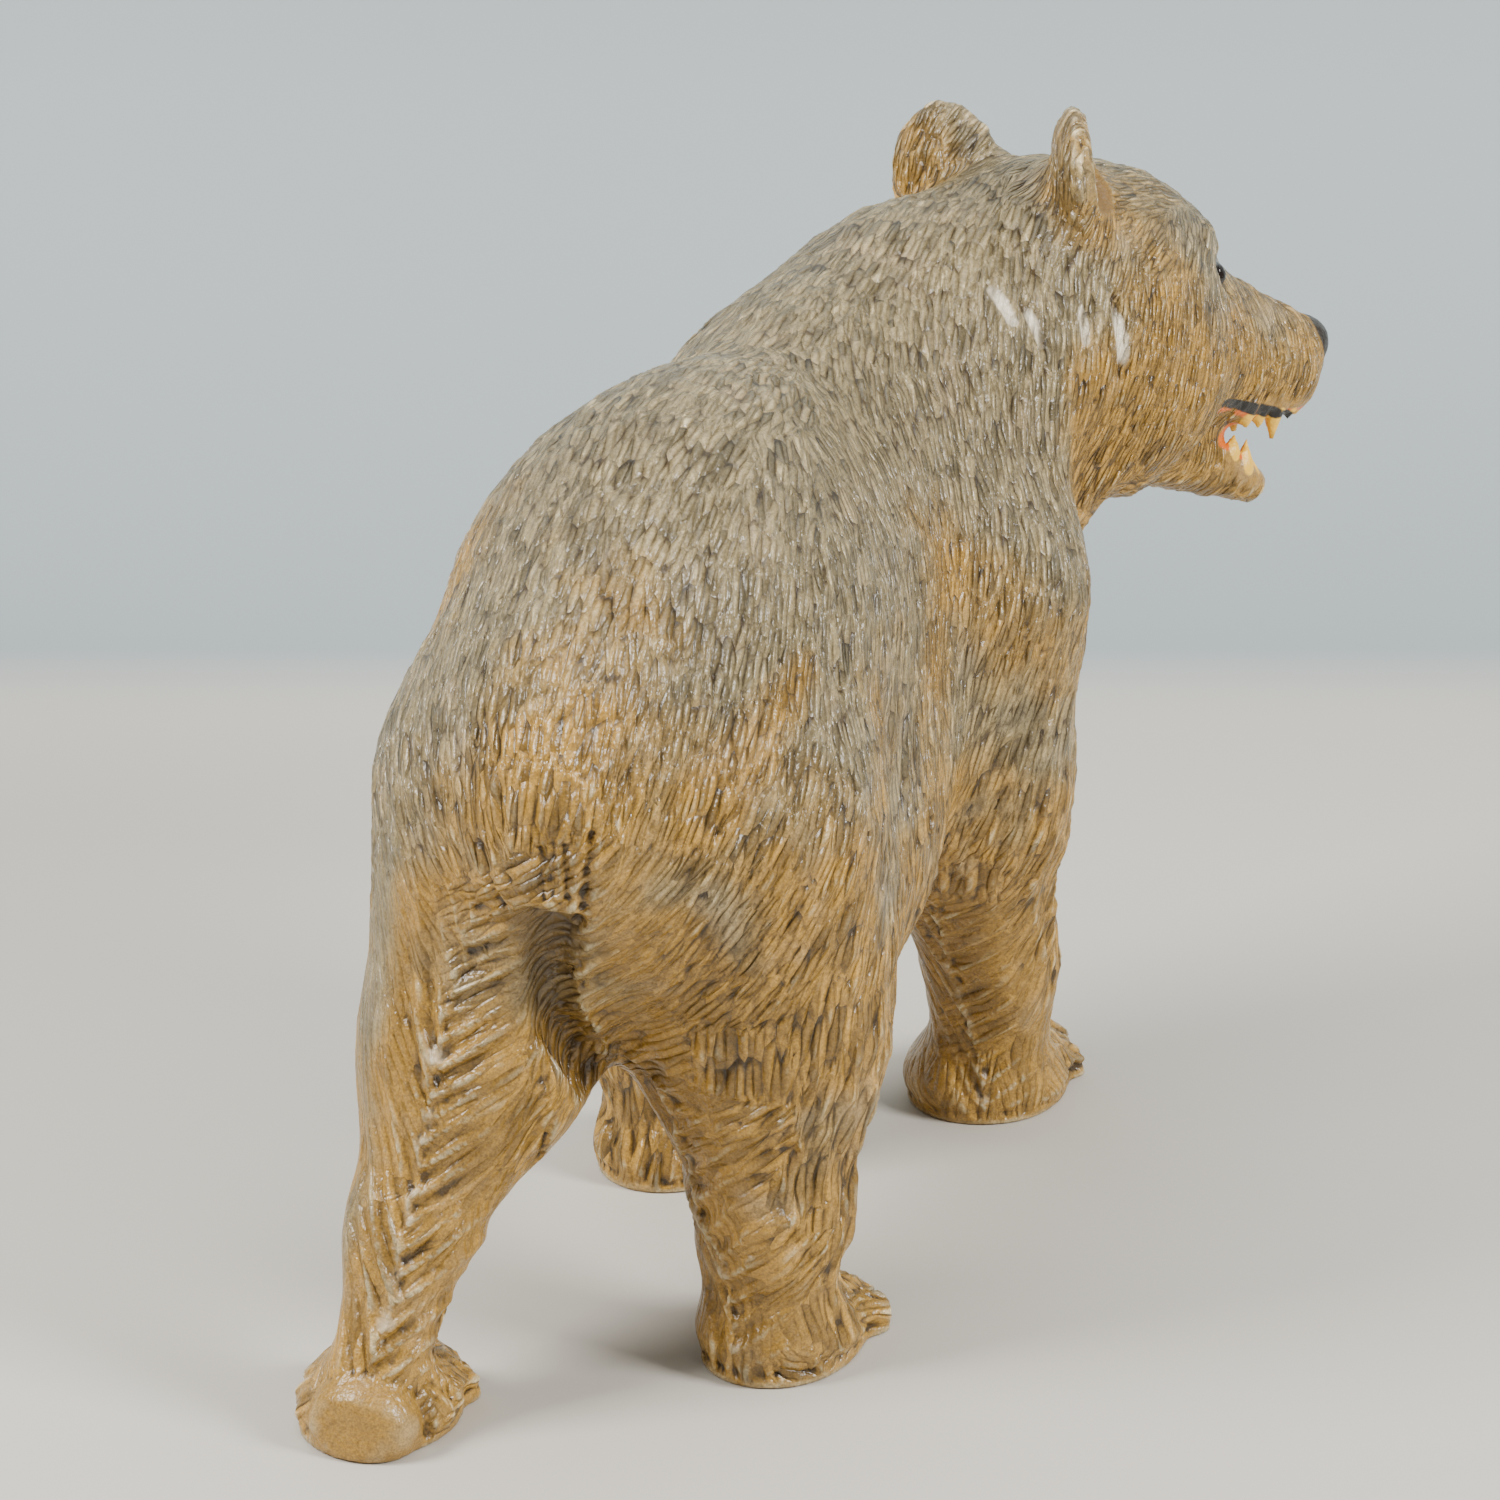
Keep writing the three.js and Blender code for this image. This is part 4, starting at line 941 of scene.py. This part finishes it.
class Tree:
    """Short ways to add and join the nodes of a node tree."""

    def __init__(self, tree):
        self.nodes = tree.nodes
        self.links = tree.links

    def add(self, kind, inputs=None, **settings):
        node = self.nodes.new(kind)
        for key, value in settings.items():
            setattr(node, key, value)
        for key, value in (inputs or {}).items():
            self.feed(node.inputs[key], value)
        return node

    def feed(self, socket, value):
        if isinstance(value, bpy.types.NodeSocket):
            self.links.new(value, socket)
        else:
            socket.default_value = value

    def math(self, operation, a, b):
        return self.add("ShaderNodeMath", {0: a, 1: b}, operation=operation).outputs[0]

    def plus(self, a, b):
        return self.math("ADD", a, b)

    def times(self, a, b):
        return self.math("MULTIPLY", a, b)

    def mark(self, name, output="Fac"):
        return self.add("ShaderNodeAttribute", attribute_name=name).outputs[output]

    def blended(self, share, first, second):
        """A mix of two values; the node's value sockets are its third and fourth."""
        return self.add("ShaderNodeMix", {0: share, 2: first, 3: second}).outputs[0]

    def between(self, value, low, high, first=0.0, last=1.0):
        """A value's way from low to high, as an even way from the first result to the last."""
        inputs = {"Value": value, "From Min": low, "From Max": high, "To Min": first, "To Max": last}
        return self.add("ShaderNodeMapRange", inputs).outputs["Result"]

    def mix(self, share, a, b, kind="MIX"):
        """A mix of two colours; the node's colour sockets are its seventh and eighth."""
        inputs = {"Factor": share, 6: a, 7: b}
        return self.add("ShaderNodeMix", inputs, data_type="RGBA", blend_type=kind).outputs[2]

    def noise(self, place, scale, detail, rough):
        inputs = {"Vector": place, "Scale": scale, "Detail": detail, "Roughness": rough}
        return self.add("ShaderNodeTexNoise", inputs).outputs["Fac"]


def new_group(name, inputs, outputs):
    """An empty shader node group with named inputs, with defaults, and named outputs."""
    group = bpy.data.node_groups.new(name, "ShaderNodeTree")
    for label, (kind, default) in inputs.items():
        socket = group.interface.new_socket(name=label, in_out="INPUT", socket_type=kind)
        if default is not None:
            socket.default_value = default
    for label, kind in outputs.items():
        group.interface.new_socket(name=label, in_out="OUTPUT", socket_type=kind)
    tree = Tree(group)
    start = tree.add("NodeGroupInput")
    end = tree.add("NodeGroupOutput")
    return group, tree, start.outputs, end.inputs


def stain_group():
    """Stain of the wood: olive over the top and honey below, with blotches, grain streaks and spots."""
    group, tree, given, out = new_group(
        "Stain",
        {
            "Place": ("NodeSocketVector", None),
            "Top colour": ("NodeSocketColor", (0.2, 0.15, 0.09, 1)),
            "Low colour": ("NodeSocketColor", (0.3, 0.18, 0.07, 1)),
            "Height": ("NodeSocketFloat", 0.5),
        },
        {"Color": "NodeSocketColor"},
    )
    place = given["Place"]
    blotch = tree.noise(place, 14, 3, 0.6)
    share = tree.plus(given["Height"], tree.between(blotch, 0.3, 0.7, -0.3, 0.3))
    colour = tree.mix(tree.between(share, 0.42, 0.68), given["Low colour"], given["Top colour"])
    stretched = tree.add("ShaderNodeMapping", {"Vector": place, "Scale": (900, 45, 900)}).outputs[0]
    grain = tree.noise(stretched, 1, 2, 0.5)
    colour = tree.mix(tree.between(grain, 0.4, 0.75, 0, 0.35), colour, GRAIN_STAIN, "MULTIPLY")
    spots = tree.noise(place, 55, 2, 0.6)
    colour = tree.mix(tree.between(spots, 0.55, 0.75, 0, 0.3), colour, SPOT_STAIN)
    tree.feed(out["Color"], colour)
    return group


def wear_and_shade_group():
    """Dark stain kept in hollows, painted shade between the locks of hair, pale wood on crests, a tone of its
    own for each lock, and a fine speckle over it all."""
    group, tree, given, out = new_group(
        "Groove dirt and wear",
        {
            "Color": ("NodeSocketColor", None),
            "Hollow": ("NodeSocketFloat", 0.0),
            "Lock": ("NodeSocketFloat", 0.5),
            "Tone": ("NodeSocketFloat", 0.5),
            "Place": ("NodeSocketVector", None),
            "Dark": ("NodeSocketColor", (0.035, 0.02, 0.007, 1)),
            "Pale": ("NodeSocketColor", (0.45, 0.36, 0.2, 1)),
            "Amount": ("NodeSocketFloat", 0.6),
        },
        {"Color": "NodeSocketColor"},
    )
    broken = tree.between(tree.noise(given["Place"], 90, 2, 0.6), 0.3, 0.7, -0.2, 0.2)
    stain_and_shade = tree.plus(tree.times(given["Hollow"], 2.2), broken)
    # Painted shade between the locks of hair: the lower a lock's height, the darker.
    stain_and_shade = tree.plus(stain_and_shade, tree.math("SUBTRACT", 0.55, given["Lock"]))
    deep = tree.between(stain_and_shade, 0.1, 0.8)
    dark = tree.mix(tree.times(deep, given["Amount"]), given["Color"], given["Dark"])
    crest = tree.times(tree.between(stain_and_shade, -0.4, -1.2), given["Amount"])
    colour = tree.mix(crest, dark, given["Pale"])
    speckle = tree.between(tree.noise(given["Place"], 1800, 1, 0.5), 0.35, 0.65, 0.8, 1.2)
    tone = tree.times(speckle, tree.between(given["Tone"], 0, 1, 0.5, 1.6))
    grey = tree.add("ShaderNodeCombineColor", {0: tone, 1: tone, 2: tone}).outputs[0]
    tree.feed(out["Color"], tree.mix(1.0, colour, grey, "MULTIPLY"))
    return group


def hair_group():
    """Fine locks of hair side by side: over the nearest of scattered points in the layer's own coordinates,
    a height of 1 - 1.6 d^2 with the distance d, sunk along the border between two locks and higher towards
    the tip; and a random tone for each lock."""
    group, tree, given, out = new_group(
        "Hair locks",
        {"Layer": ("NodeSocketVector", None)},
        {"Height": "NodeSocketFloat", "Tone": "NodeSocketFloat"},
    )
    cells = tree.add("ShaderNodeTexVoronoi", {"Scale": 1.0, "Randomness": 0.85}, voronoi_dimensions="2D")
    tree.feed(cells.inputs["Vector"], given["Layer"])
    distance = cells.outputs["Distance"]
    fall = tree.times(tree.times(distance, distance), 1.6)
    round_top = tree.math("SUBTRACT", 1.0, fall)
    edge = tree.add(
        "ShaderNodeTexVoronoi",
        {"Vector": given["Layer"], "Scale": 1.0, "Randomness": 0.85},
        voronoi_dimensions="2D",
        feature="DISTANCE_TO_EDGE",
    ).outputs["Distance"]
    lock = tree.times(round_top, tree.between(edge, 0.0, 0.2, 0.35, 1.0))
    ends = {0: given["Layer"], 1: cells.outputs["Position"]}
    away = tree.add("ShaderNodeVectorMath", ends, operation="SUBTRACT").outputs[0]
    away = tree.add("ShaderNodeSeparateXYZ", {0: away}).outputs[0]
    random = tree.add("ShaderNodeSeparateColor", {0: cells.outputs["Color"]}).outputs
    tilted = tree.plus(lock, tree.times(away, tree.between(random[1], 0, 1, 0.2, 0.7)))
    tree.feed(out["Height"], tree.times(tilted, tree.between(random[0], 0, 1, 0.7, 1.1)))
    tree.feed(out["Tone"], random[2])
    return group


def bump_group():
    """Fine relief of cut wood: locks of hair and tool chatter as one height, turned into a normal."""
    group, tree, given, out = new_group(
        "Cut wood relief",
        {
            "Place": ("NodeSocketVector", None),
            "Hair": ("NodeSocketFloat", 0.0),
            "Strength": ("NodeSocketFloat", 0.3),
        },
        {"Normal": "NodeSocketVector"},
    )
    place = given["Place"]
    chatter = tree.noise(place, 420, 2, 0.55)
    height = tree.plus(tree.times(chatter, 0.5), given["Hair"])
    inputs = {"Strength": given["Strength"], "Distance": RELIEF_HEIGHT, "Height": height}
    tree.feed(out["Normal"], tree.add("ShaderNodeBump", inputs).outputs[0])
    return group


def carved_wood_material(settings):
    """Stained carved wood, with painted shade in the groove, the tail's hollow and between the locks of hair,
    and the painted parts and the pale neck cuts, bare wood with a painted highlight, laid over it by their
    marks.
    """
    material = bpy.data.materials.new("carved_wood")
    material.use_nodes = True
    tree = Tree(material.node_tree)
    shader = material.node_tree.nodes["Principled BSDF"]
    place = tree.add("ShaderNodeTexCoord").outputs["Object"]

    def use(group, inputs):
        node = tree.add("ShaderNodeGroup", node_tree=group)
        for key, value in inputs.items():
            tree.feed(node.inputs[key], value)
        return node.outputs

    inputs = {
        "Place": place,
        "Top colour": (*settings.top_colour, 1),
        "Low colour": (*settings.low_colour, 1),
        "Height": tree.mark("height"),
    }
    colour = use(stain_group(), inputs)[0]
    layers = [tree.mark(name, "Vector") for name in HAIR_SEEDS]
    locks = hair_group()
    first, second = (use(locks, {"Layer": layer}) for layer in layers)
    inside = tree.add("ShaderNodeSeparateXYZ", {0: layers[0]}).outputs[2]
    hair = tree.blended(inside, second["Height"], first["Height"])
    tone = tree.blended(inside, second["Tone"], first["Tone"])
    plain = tree.between(tree.mark("bald"), 0.2, 0.7)
    for name in ("lip", "gum", "tooth"):
        plain = tree.math("MAXIMUM", plain, tree.between(tree.mark(name), -0.3, 0.3))
    plain = tree.math("MAXIMUM", plain, tree.times(tree.mark("flute"), 0.45))
    hair = tree.blended(plain, hair, 0.7)
    tone = tree.blended(plain, tone, 0.5)
    # The locks' height also lays painted shade between the locks in the wear group.
    inputs = {"Color": colour, "Hollow": tree.mark("cut"), "Lock": hair, "Tone": tone, "Place": place}
    colour = use(wear_and_shade_group(), inputs | {"Amount": settings.wear})[0]
    chips = tree.noise(place, 160, 3, 0.6)
    # Painted shade in the groove between the haunches and the hollow under the tail, broken up by noise.
    crease_shading = tree.plus(tree.mark("crease_shade"), tree.between(chips, 0.3, 0.7, -0.2, 0.2))
    colour = tree.mix(tree.between(crease_shading, 0, 1, 0, 0.6), colour, CREASE_SHADE)
    bare = tree.times(tree.between(tree.mark("ridge"), 0.2, 0.9), tree.between(chips, 0.5, 0.6, 0, 0.7))
    colour = tree.mix(bare, colour, (*settings.bare_colour, 1))
    gloss = tree.between(chips, 0.3, 0.7, 0.24, 0.4)
    for name, paint in PAINTS.items():
        edge = paint["soft"] / 2
        share = tree.between(tree.mark(name), -edge, edge, 0, paint["cover"])
        thin = tuple(c * THIN_PAINT for c in paint["colour"])
        uneven = tree.mix(tree.between(chips, 0.35, 0.7, 0, 0.5), (*paint["colour"], 1), (*thin, 1))
        colour = tree.mix(share, colour, uneven)
        gloss = tree.blended(share, gloss, paint["rough"])
    tree.feed(shader.inputs["Base Color"], colour)
    tree.feed(shader.inputs["Roughness"], gloss)
    normal = use(bump_group(), {"Place": place, "Hair": hair, "Strength": settings.relief})[0]
    tree.feed(shader.inputs["Normal"], normal)
    return material


class CarvedBearSettings(bpy.types.PropertyGroup):
    """Sizes and colours of the bear."""

    cell: bpy.props.FloatProperty(
        name="Cell",
        description="Grid cell of the form, in parts of the carving",
        default=1.35,
        min=0.8,
        max=4,
    )
    triangles: bpy.props.IntProperty(
        name="Triangles",
        description="Triangles that the figure keeps",
        default=196000,
        min=5000,
        max=199000,
    )
    top_colour: bpy.props.FloatVectorProperty(
        name="Top colour",
        description="Stain of back and neck",
        default=(0.215, 0.168, 0.084),
        subtype="COLOR",
    )
    low_colour: bpy.props.FloatVectorProperty(
        name="Low colour",
        description="Stain of flanks and legs",
        default=(0.32, 0.18, 0.034),
        subtype="COLOR",
    )
    bare_colour: bpy.props.FloatVectorProperty(
        name="Bare colour",
        description="Bare wood on chipped ridges",
        default=(0.62, 0.52, 0.36),
        subtype="COLOR",
    )
    wear: bpy.props.FloatProperty(
        name="Wear", description="Dark cuts and pale crests", default=0.92, min=0, max=1, subtype="FACTOR"
    )
    relief: bpy.props.FloatProperty(
        name="Relief",
        description="Strength of the fine tool marks",
        default=0.9,
        min=0,
        max=1,
        subtype="FACTOR",
    )


class StageSettings(bpy.types.PropertyGroup):
    """Floor, light and camera."""

    floor_colour: bpy.props.FloatVectorProperty(
        name="Floor colour", description="Floor", default=(0.56, 0.53, 0.47), subtype="COLOR"
    )
    wall_colour: bpy.props.FloatVectorProperty(
        name="Wall colour", description="Backdrop", default=(0.4, 0.46, 0.48), subtype="COLOR"
    )
    light: bpy.props.FloatProperty(
        name="Light", description="Strength of the key light in watts", default=42, min=0, subtype="POWER"
    )
    azimuth: bpy.props.FloatProperty(
        name="Azimuth",
        description="Camera's way round the figure",
        default=math.radians(200.5),
        subtype="ANGLE",
    )
    elevation: bpy.props.FloatProperty(
        name="Elevation",
        description="Camera's angle above the floor",
        default=math.radians(18.5),
        subtype="ANGLE",
    )
    distance: bpy.props.FloatProperty(
        name="Distance",
        description="Camera to the point it looks at",
        default=1.2305,
        min=0.1,
        unit="LENGTH",
    )
    lens: bpy.props.FloatProperty(
        name="Lens", description="Focal length for a 36 mm sensor", default=100.8, min=10, unit="CAMERA"
    )


class CarvedBearAdd(bpy.types.Operator):
    """Adds the carved bear in place of its plain solid"""

    bl_idname = "object.carved_bear_add"
    bl_label = "Add carved bear"

    def execute(self, context):
        settings = context.scene.carved_bear
        points, quads, bounds = carved_surface(settings.cell)
        piece = bpy.data.objects.new("carved_bear", mesh_from("carved_bear", points, quads))
        context.scene.collection.objects.link(piece)
        thinned(piece, settings.triangles)
        mesh = piece.data
        place = np.empty(len(mesh.vertices) * 3, np.float32)
        mesh.vertices.foreach_get("co", place)
        place = place.reshape(-1, 3).astype(float)
        write_marks(mesh, place)
        scale, offset = fit_to_frame(*bounds)
        mesh.vertices.foreach_set("co", (place * scale - offset).astype(np.float32).ravel())
        mesh.shade_smooth()
        mesh.materials.clear()
        mesh.materials.append(carved_wood_material(settings))
        mesh.update()
        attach(piece, "root")
        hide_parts("bear")
        return {"FINISHED"}


def stage_material(colour, wall_colour):
    """Matt paint with faint clouding, turning to the wall's colour as the sheet rises, from a painted shade
    at the wall's foot. It is clear from behind, so that the wall never hides the piece."""
    material = bpy.data.materials.new("floor")
    material.use_nodes = True
    tree = Tree(material.node_tree)
    shader = material.node_tree.nodes["Principled BSDF"]
    place = tree.add("ShaderNodeTexCoord").outputs["Object"]
    height = tree.add("ShaderNodeSeparateXYZ", {0: place}).outputs[2]
    # Painted shade at the foot of the wall, lightening to the wall's colour as it rises.
    foot_shade = tuple(c * WALL_FOOT_SHADE for c in wall_colour)
    wall = tree.mix(tree.between(height, 0.01, 0.22), (*foot_shade, 1), (*wall_colour, 1))
    colour = tree.mix(tree.between(height, 0.0, 0.012), (*colour, 1), wall)
    cloud = tree.between(tree.noise(place, 1.5, 3, 0.5), 0, 1, 0, 0.12)
    colour = tree.mix(cloud, colour, (0, 0, 0, 1))
    tree.feed(shader.inputs["Base Color"], colour)
    shader.inputs["Roughness"].default_value = 0.75
    clear = tree.add("ShaderNodeBsdfTransparent").outputs[0]
    behind = tree.add("ShaderNodeNewGeometry").outputs["Backfacing"]
    either = tree.add("ShaderNodeMixShader", {0: behind, 1: shader.outputs[0], 2: clear}).outputs[0]
    tree.feed(material.node_tree.nodes["Material Output"].inputs["Surface"], either)
    return material


def studio_world(seen):
    """Even light from all round, and a colour of its own for what is seen of it past the stage."""
    world = bpy.data.worlds.new("studio")
    world.use_nodes = True
    tree = Tree(world.node_tree)
    even = world.node_tree.nodes["Background"]
    tree.feed(even.inputs["Color"], AIR_COLOUR)
    tree.feed(even.inputs["Strength"], AIR_STRENGTH)
    wall = tree.add("ShaderNodeBackground", {"Color": (*seen, 1), "Strength": AIR_SEEN}).outputs[0]
    ray = tree.add("ShaderNodeLightPath").outputs["Is Camera Ray"]
    both = tree.add("ShaderNodeMixShader", {0: ray, 1: even.outputs[0], 2: wall}).outputs[0]
    tree.feed(world.node_tree.nodes["World Output"].inputs["Surface"], both)
    return world


def sweep(width, front, depth, height, bend):
    """Floor and backdrop in one sheet: a profile of flat floor, quarter circle and upright wall, drawn
    across."""
    angle = np.linspace(0, math.pi / 2, 24)
    round_part = np.stack([depth + bend * np.sin(angle), bend * (1 - np.cos(angle))], axis=1)
    run = np.concatenate([[[-front, 0]], round_part, [[depth + bend, height]]])
    across = np.array([-width, width])
    y, x = np.meshgrid(run[:, 0], across, indexing="ij")
    z = np.repeat(run[:, 1:], 2, axis=1)
    points = np.stack([x, y, z], axis=2).reshape(-1, 3)
    row = np.arange(len(run) - 1) * 2
    quads = np.stack([row, row + 1, row + 3, row + 2], axis=1)
    return points, quads


def aim(thing, place, target):
    """Puts a lamp or camera at a place, looking at a target with its top up."""
    way = Vector(target) - Vector(place)
    thing.matrix_world = Matrix.Translation(place) @ way.to_track_quat("-Z", "Y").to_matrix().to_4x4()


def area_light(name, place, target, size, watts, colour):
    """A square soft light."""
    lamp = bpy.data.lights.new(name, "AREA")
    lamp.energy = watts
    lamp.size = size
    lamp.color = colour
    thing = bpy.data.objects.new(name, lamp)
    bpy.context.scene.collection.objects.link(thing)
    aim(thing, place, target)


class CarvedBearStageAdd(bpy.types.Operator):
    """Adds the floor, the lights and the camera"""

    bl_idname = "scene.carved_bear_stage_add"
    bl_label = "Add stage"

    def execute(self, context):
        settings = context.scene.carved_bear_stage
        a, e = settings.azimuth, settings.elevation
        back = Vector((math.sin(a) * math.cos(e), -math.cos(a) * math.cos(e), math.sin(e)))
        side = Vector((math.cos(a), math.sin(a), 0))
        camera = bpy.data.cameras.new("camera")
        camera.lens = settings.lens
        camera.sensor_width = SENSOR_MM
        eye = bpy.data.objects.new("camera", camera)
        context.scene.collection.objects.link(eye)
        aim(eye, Vector(LOOK_AT) + back * settings.distance, LOOK_AT)
        context.scene.camera = eye

        floor = bpy.data.objects.new("floor", mesh_from("floor", *sweep(**SHEET)))
        context.scene.collection.objects.link(floor)
        floor.matrix_world = Matrix.Rotation(a, 4, "Z")
        floor.data.shade_smooth()
        floor.data.materials.append(stage_material(settings.floor_colour, settings.wall_colour))

        middle = Vector(LAMP_AIM)
        for name, lamp in LAMPS.items():
            place = middle + back * lamp["near"] + side * lamp["side"] + Vector((0, 0, lamp["up"]))
            area_light(name, place, middle, lamp["size"], settings.light * lamp["share"], lamp["colour"])
        context.scene.world = studio_world(settings.wall_colour)
        return {"FINISHED"}


class CarvedBearPanel(bpy.types.Panel):
    """Lists the bear, its stage and their settings"""

    bl_idname = "VIEW3D_PT_carved_bear"
    bl_label = "Carved bear"
    bl_space_type = "VIEW_3D"
    bl_region_type = "UI"
    bl_category = "Carved bear"

    def draw(self, context):
        for operator, settings in (
            (CarvedBearAdd, context.scene.carved_bear),
            (CarvedBearStageAdd, context.scene.carved_bear_stage),
        ):
            self.layout.operator(operator.bl_idname)
            for name in settings.__annotations__:
                self.layout.prop(settings, name)


CLASSES = (CarvedBearSettings, StageSettings, CarvedBearAdd, CarvedBearStageAdd, CarvedBearPanel)


def register():
    for item in CLASSES:
        bpy.utils.register_class(item)
    bpy.types.Scene.carved_bear = bpy.props.PointerProperty(type=CarvedBearSettings)
    bpy.types.Scene.carved_bear_stage = bpy.props.PointerProperty(type=StageSettings)


def unregister():
    del bpy.types.Scene.carved_bear_stage
    del bpy.types.Scene.carved_bear
    for item in reversed(CLASSES):
        bpy.utils.unregister_class(item)


def main():
    register()
    bpy.ops.object.carved_bear_add()
    bpy.ops.scene.carved_bear_stage_add()


if __name__ == "__main__":
    main()
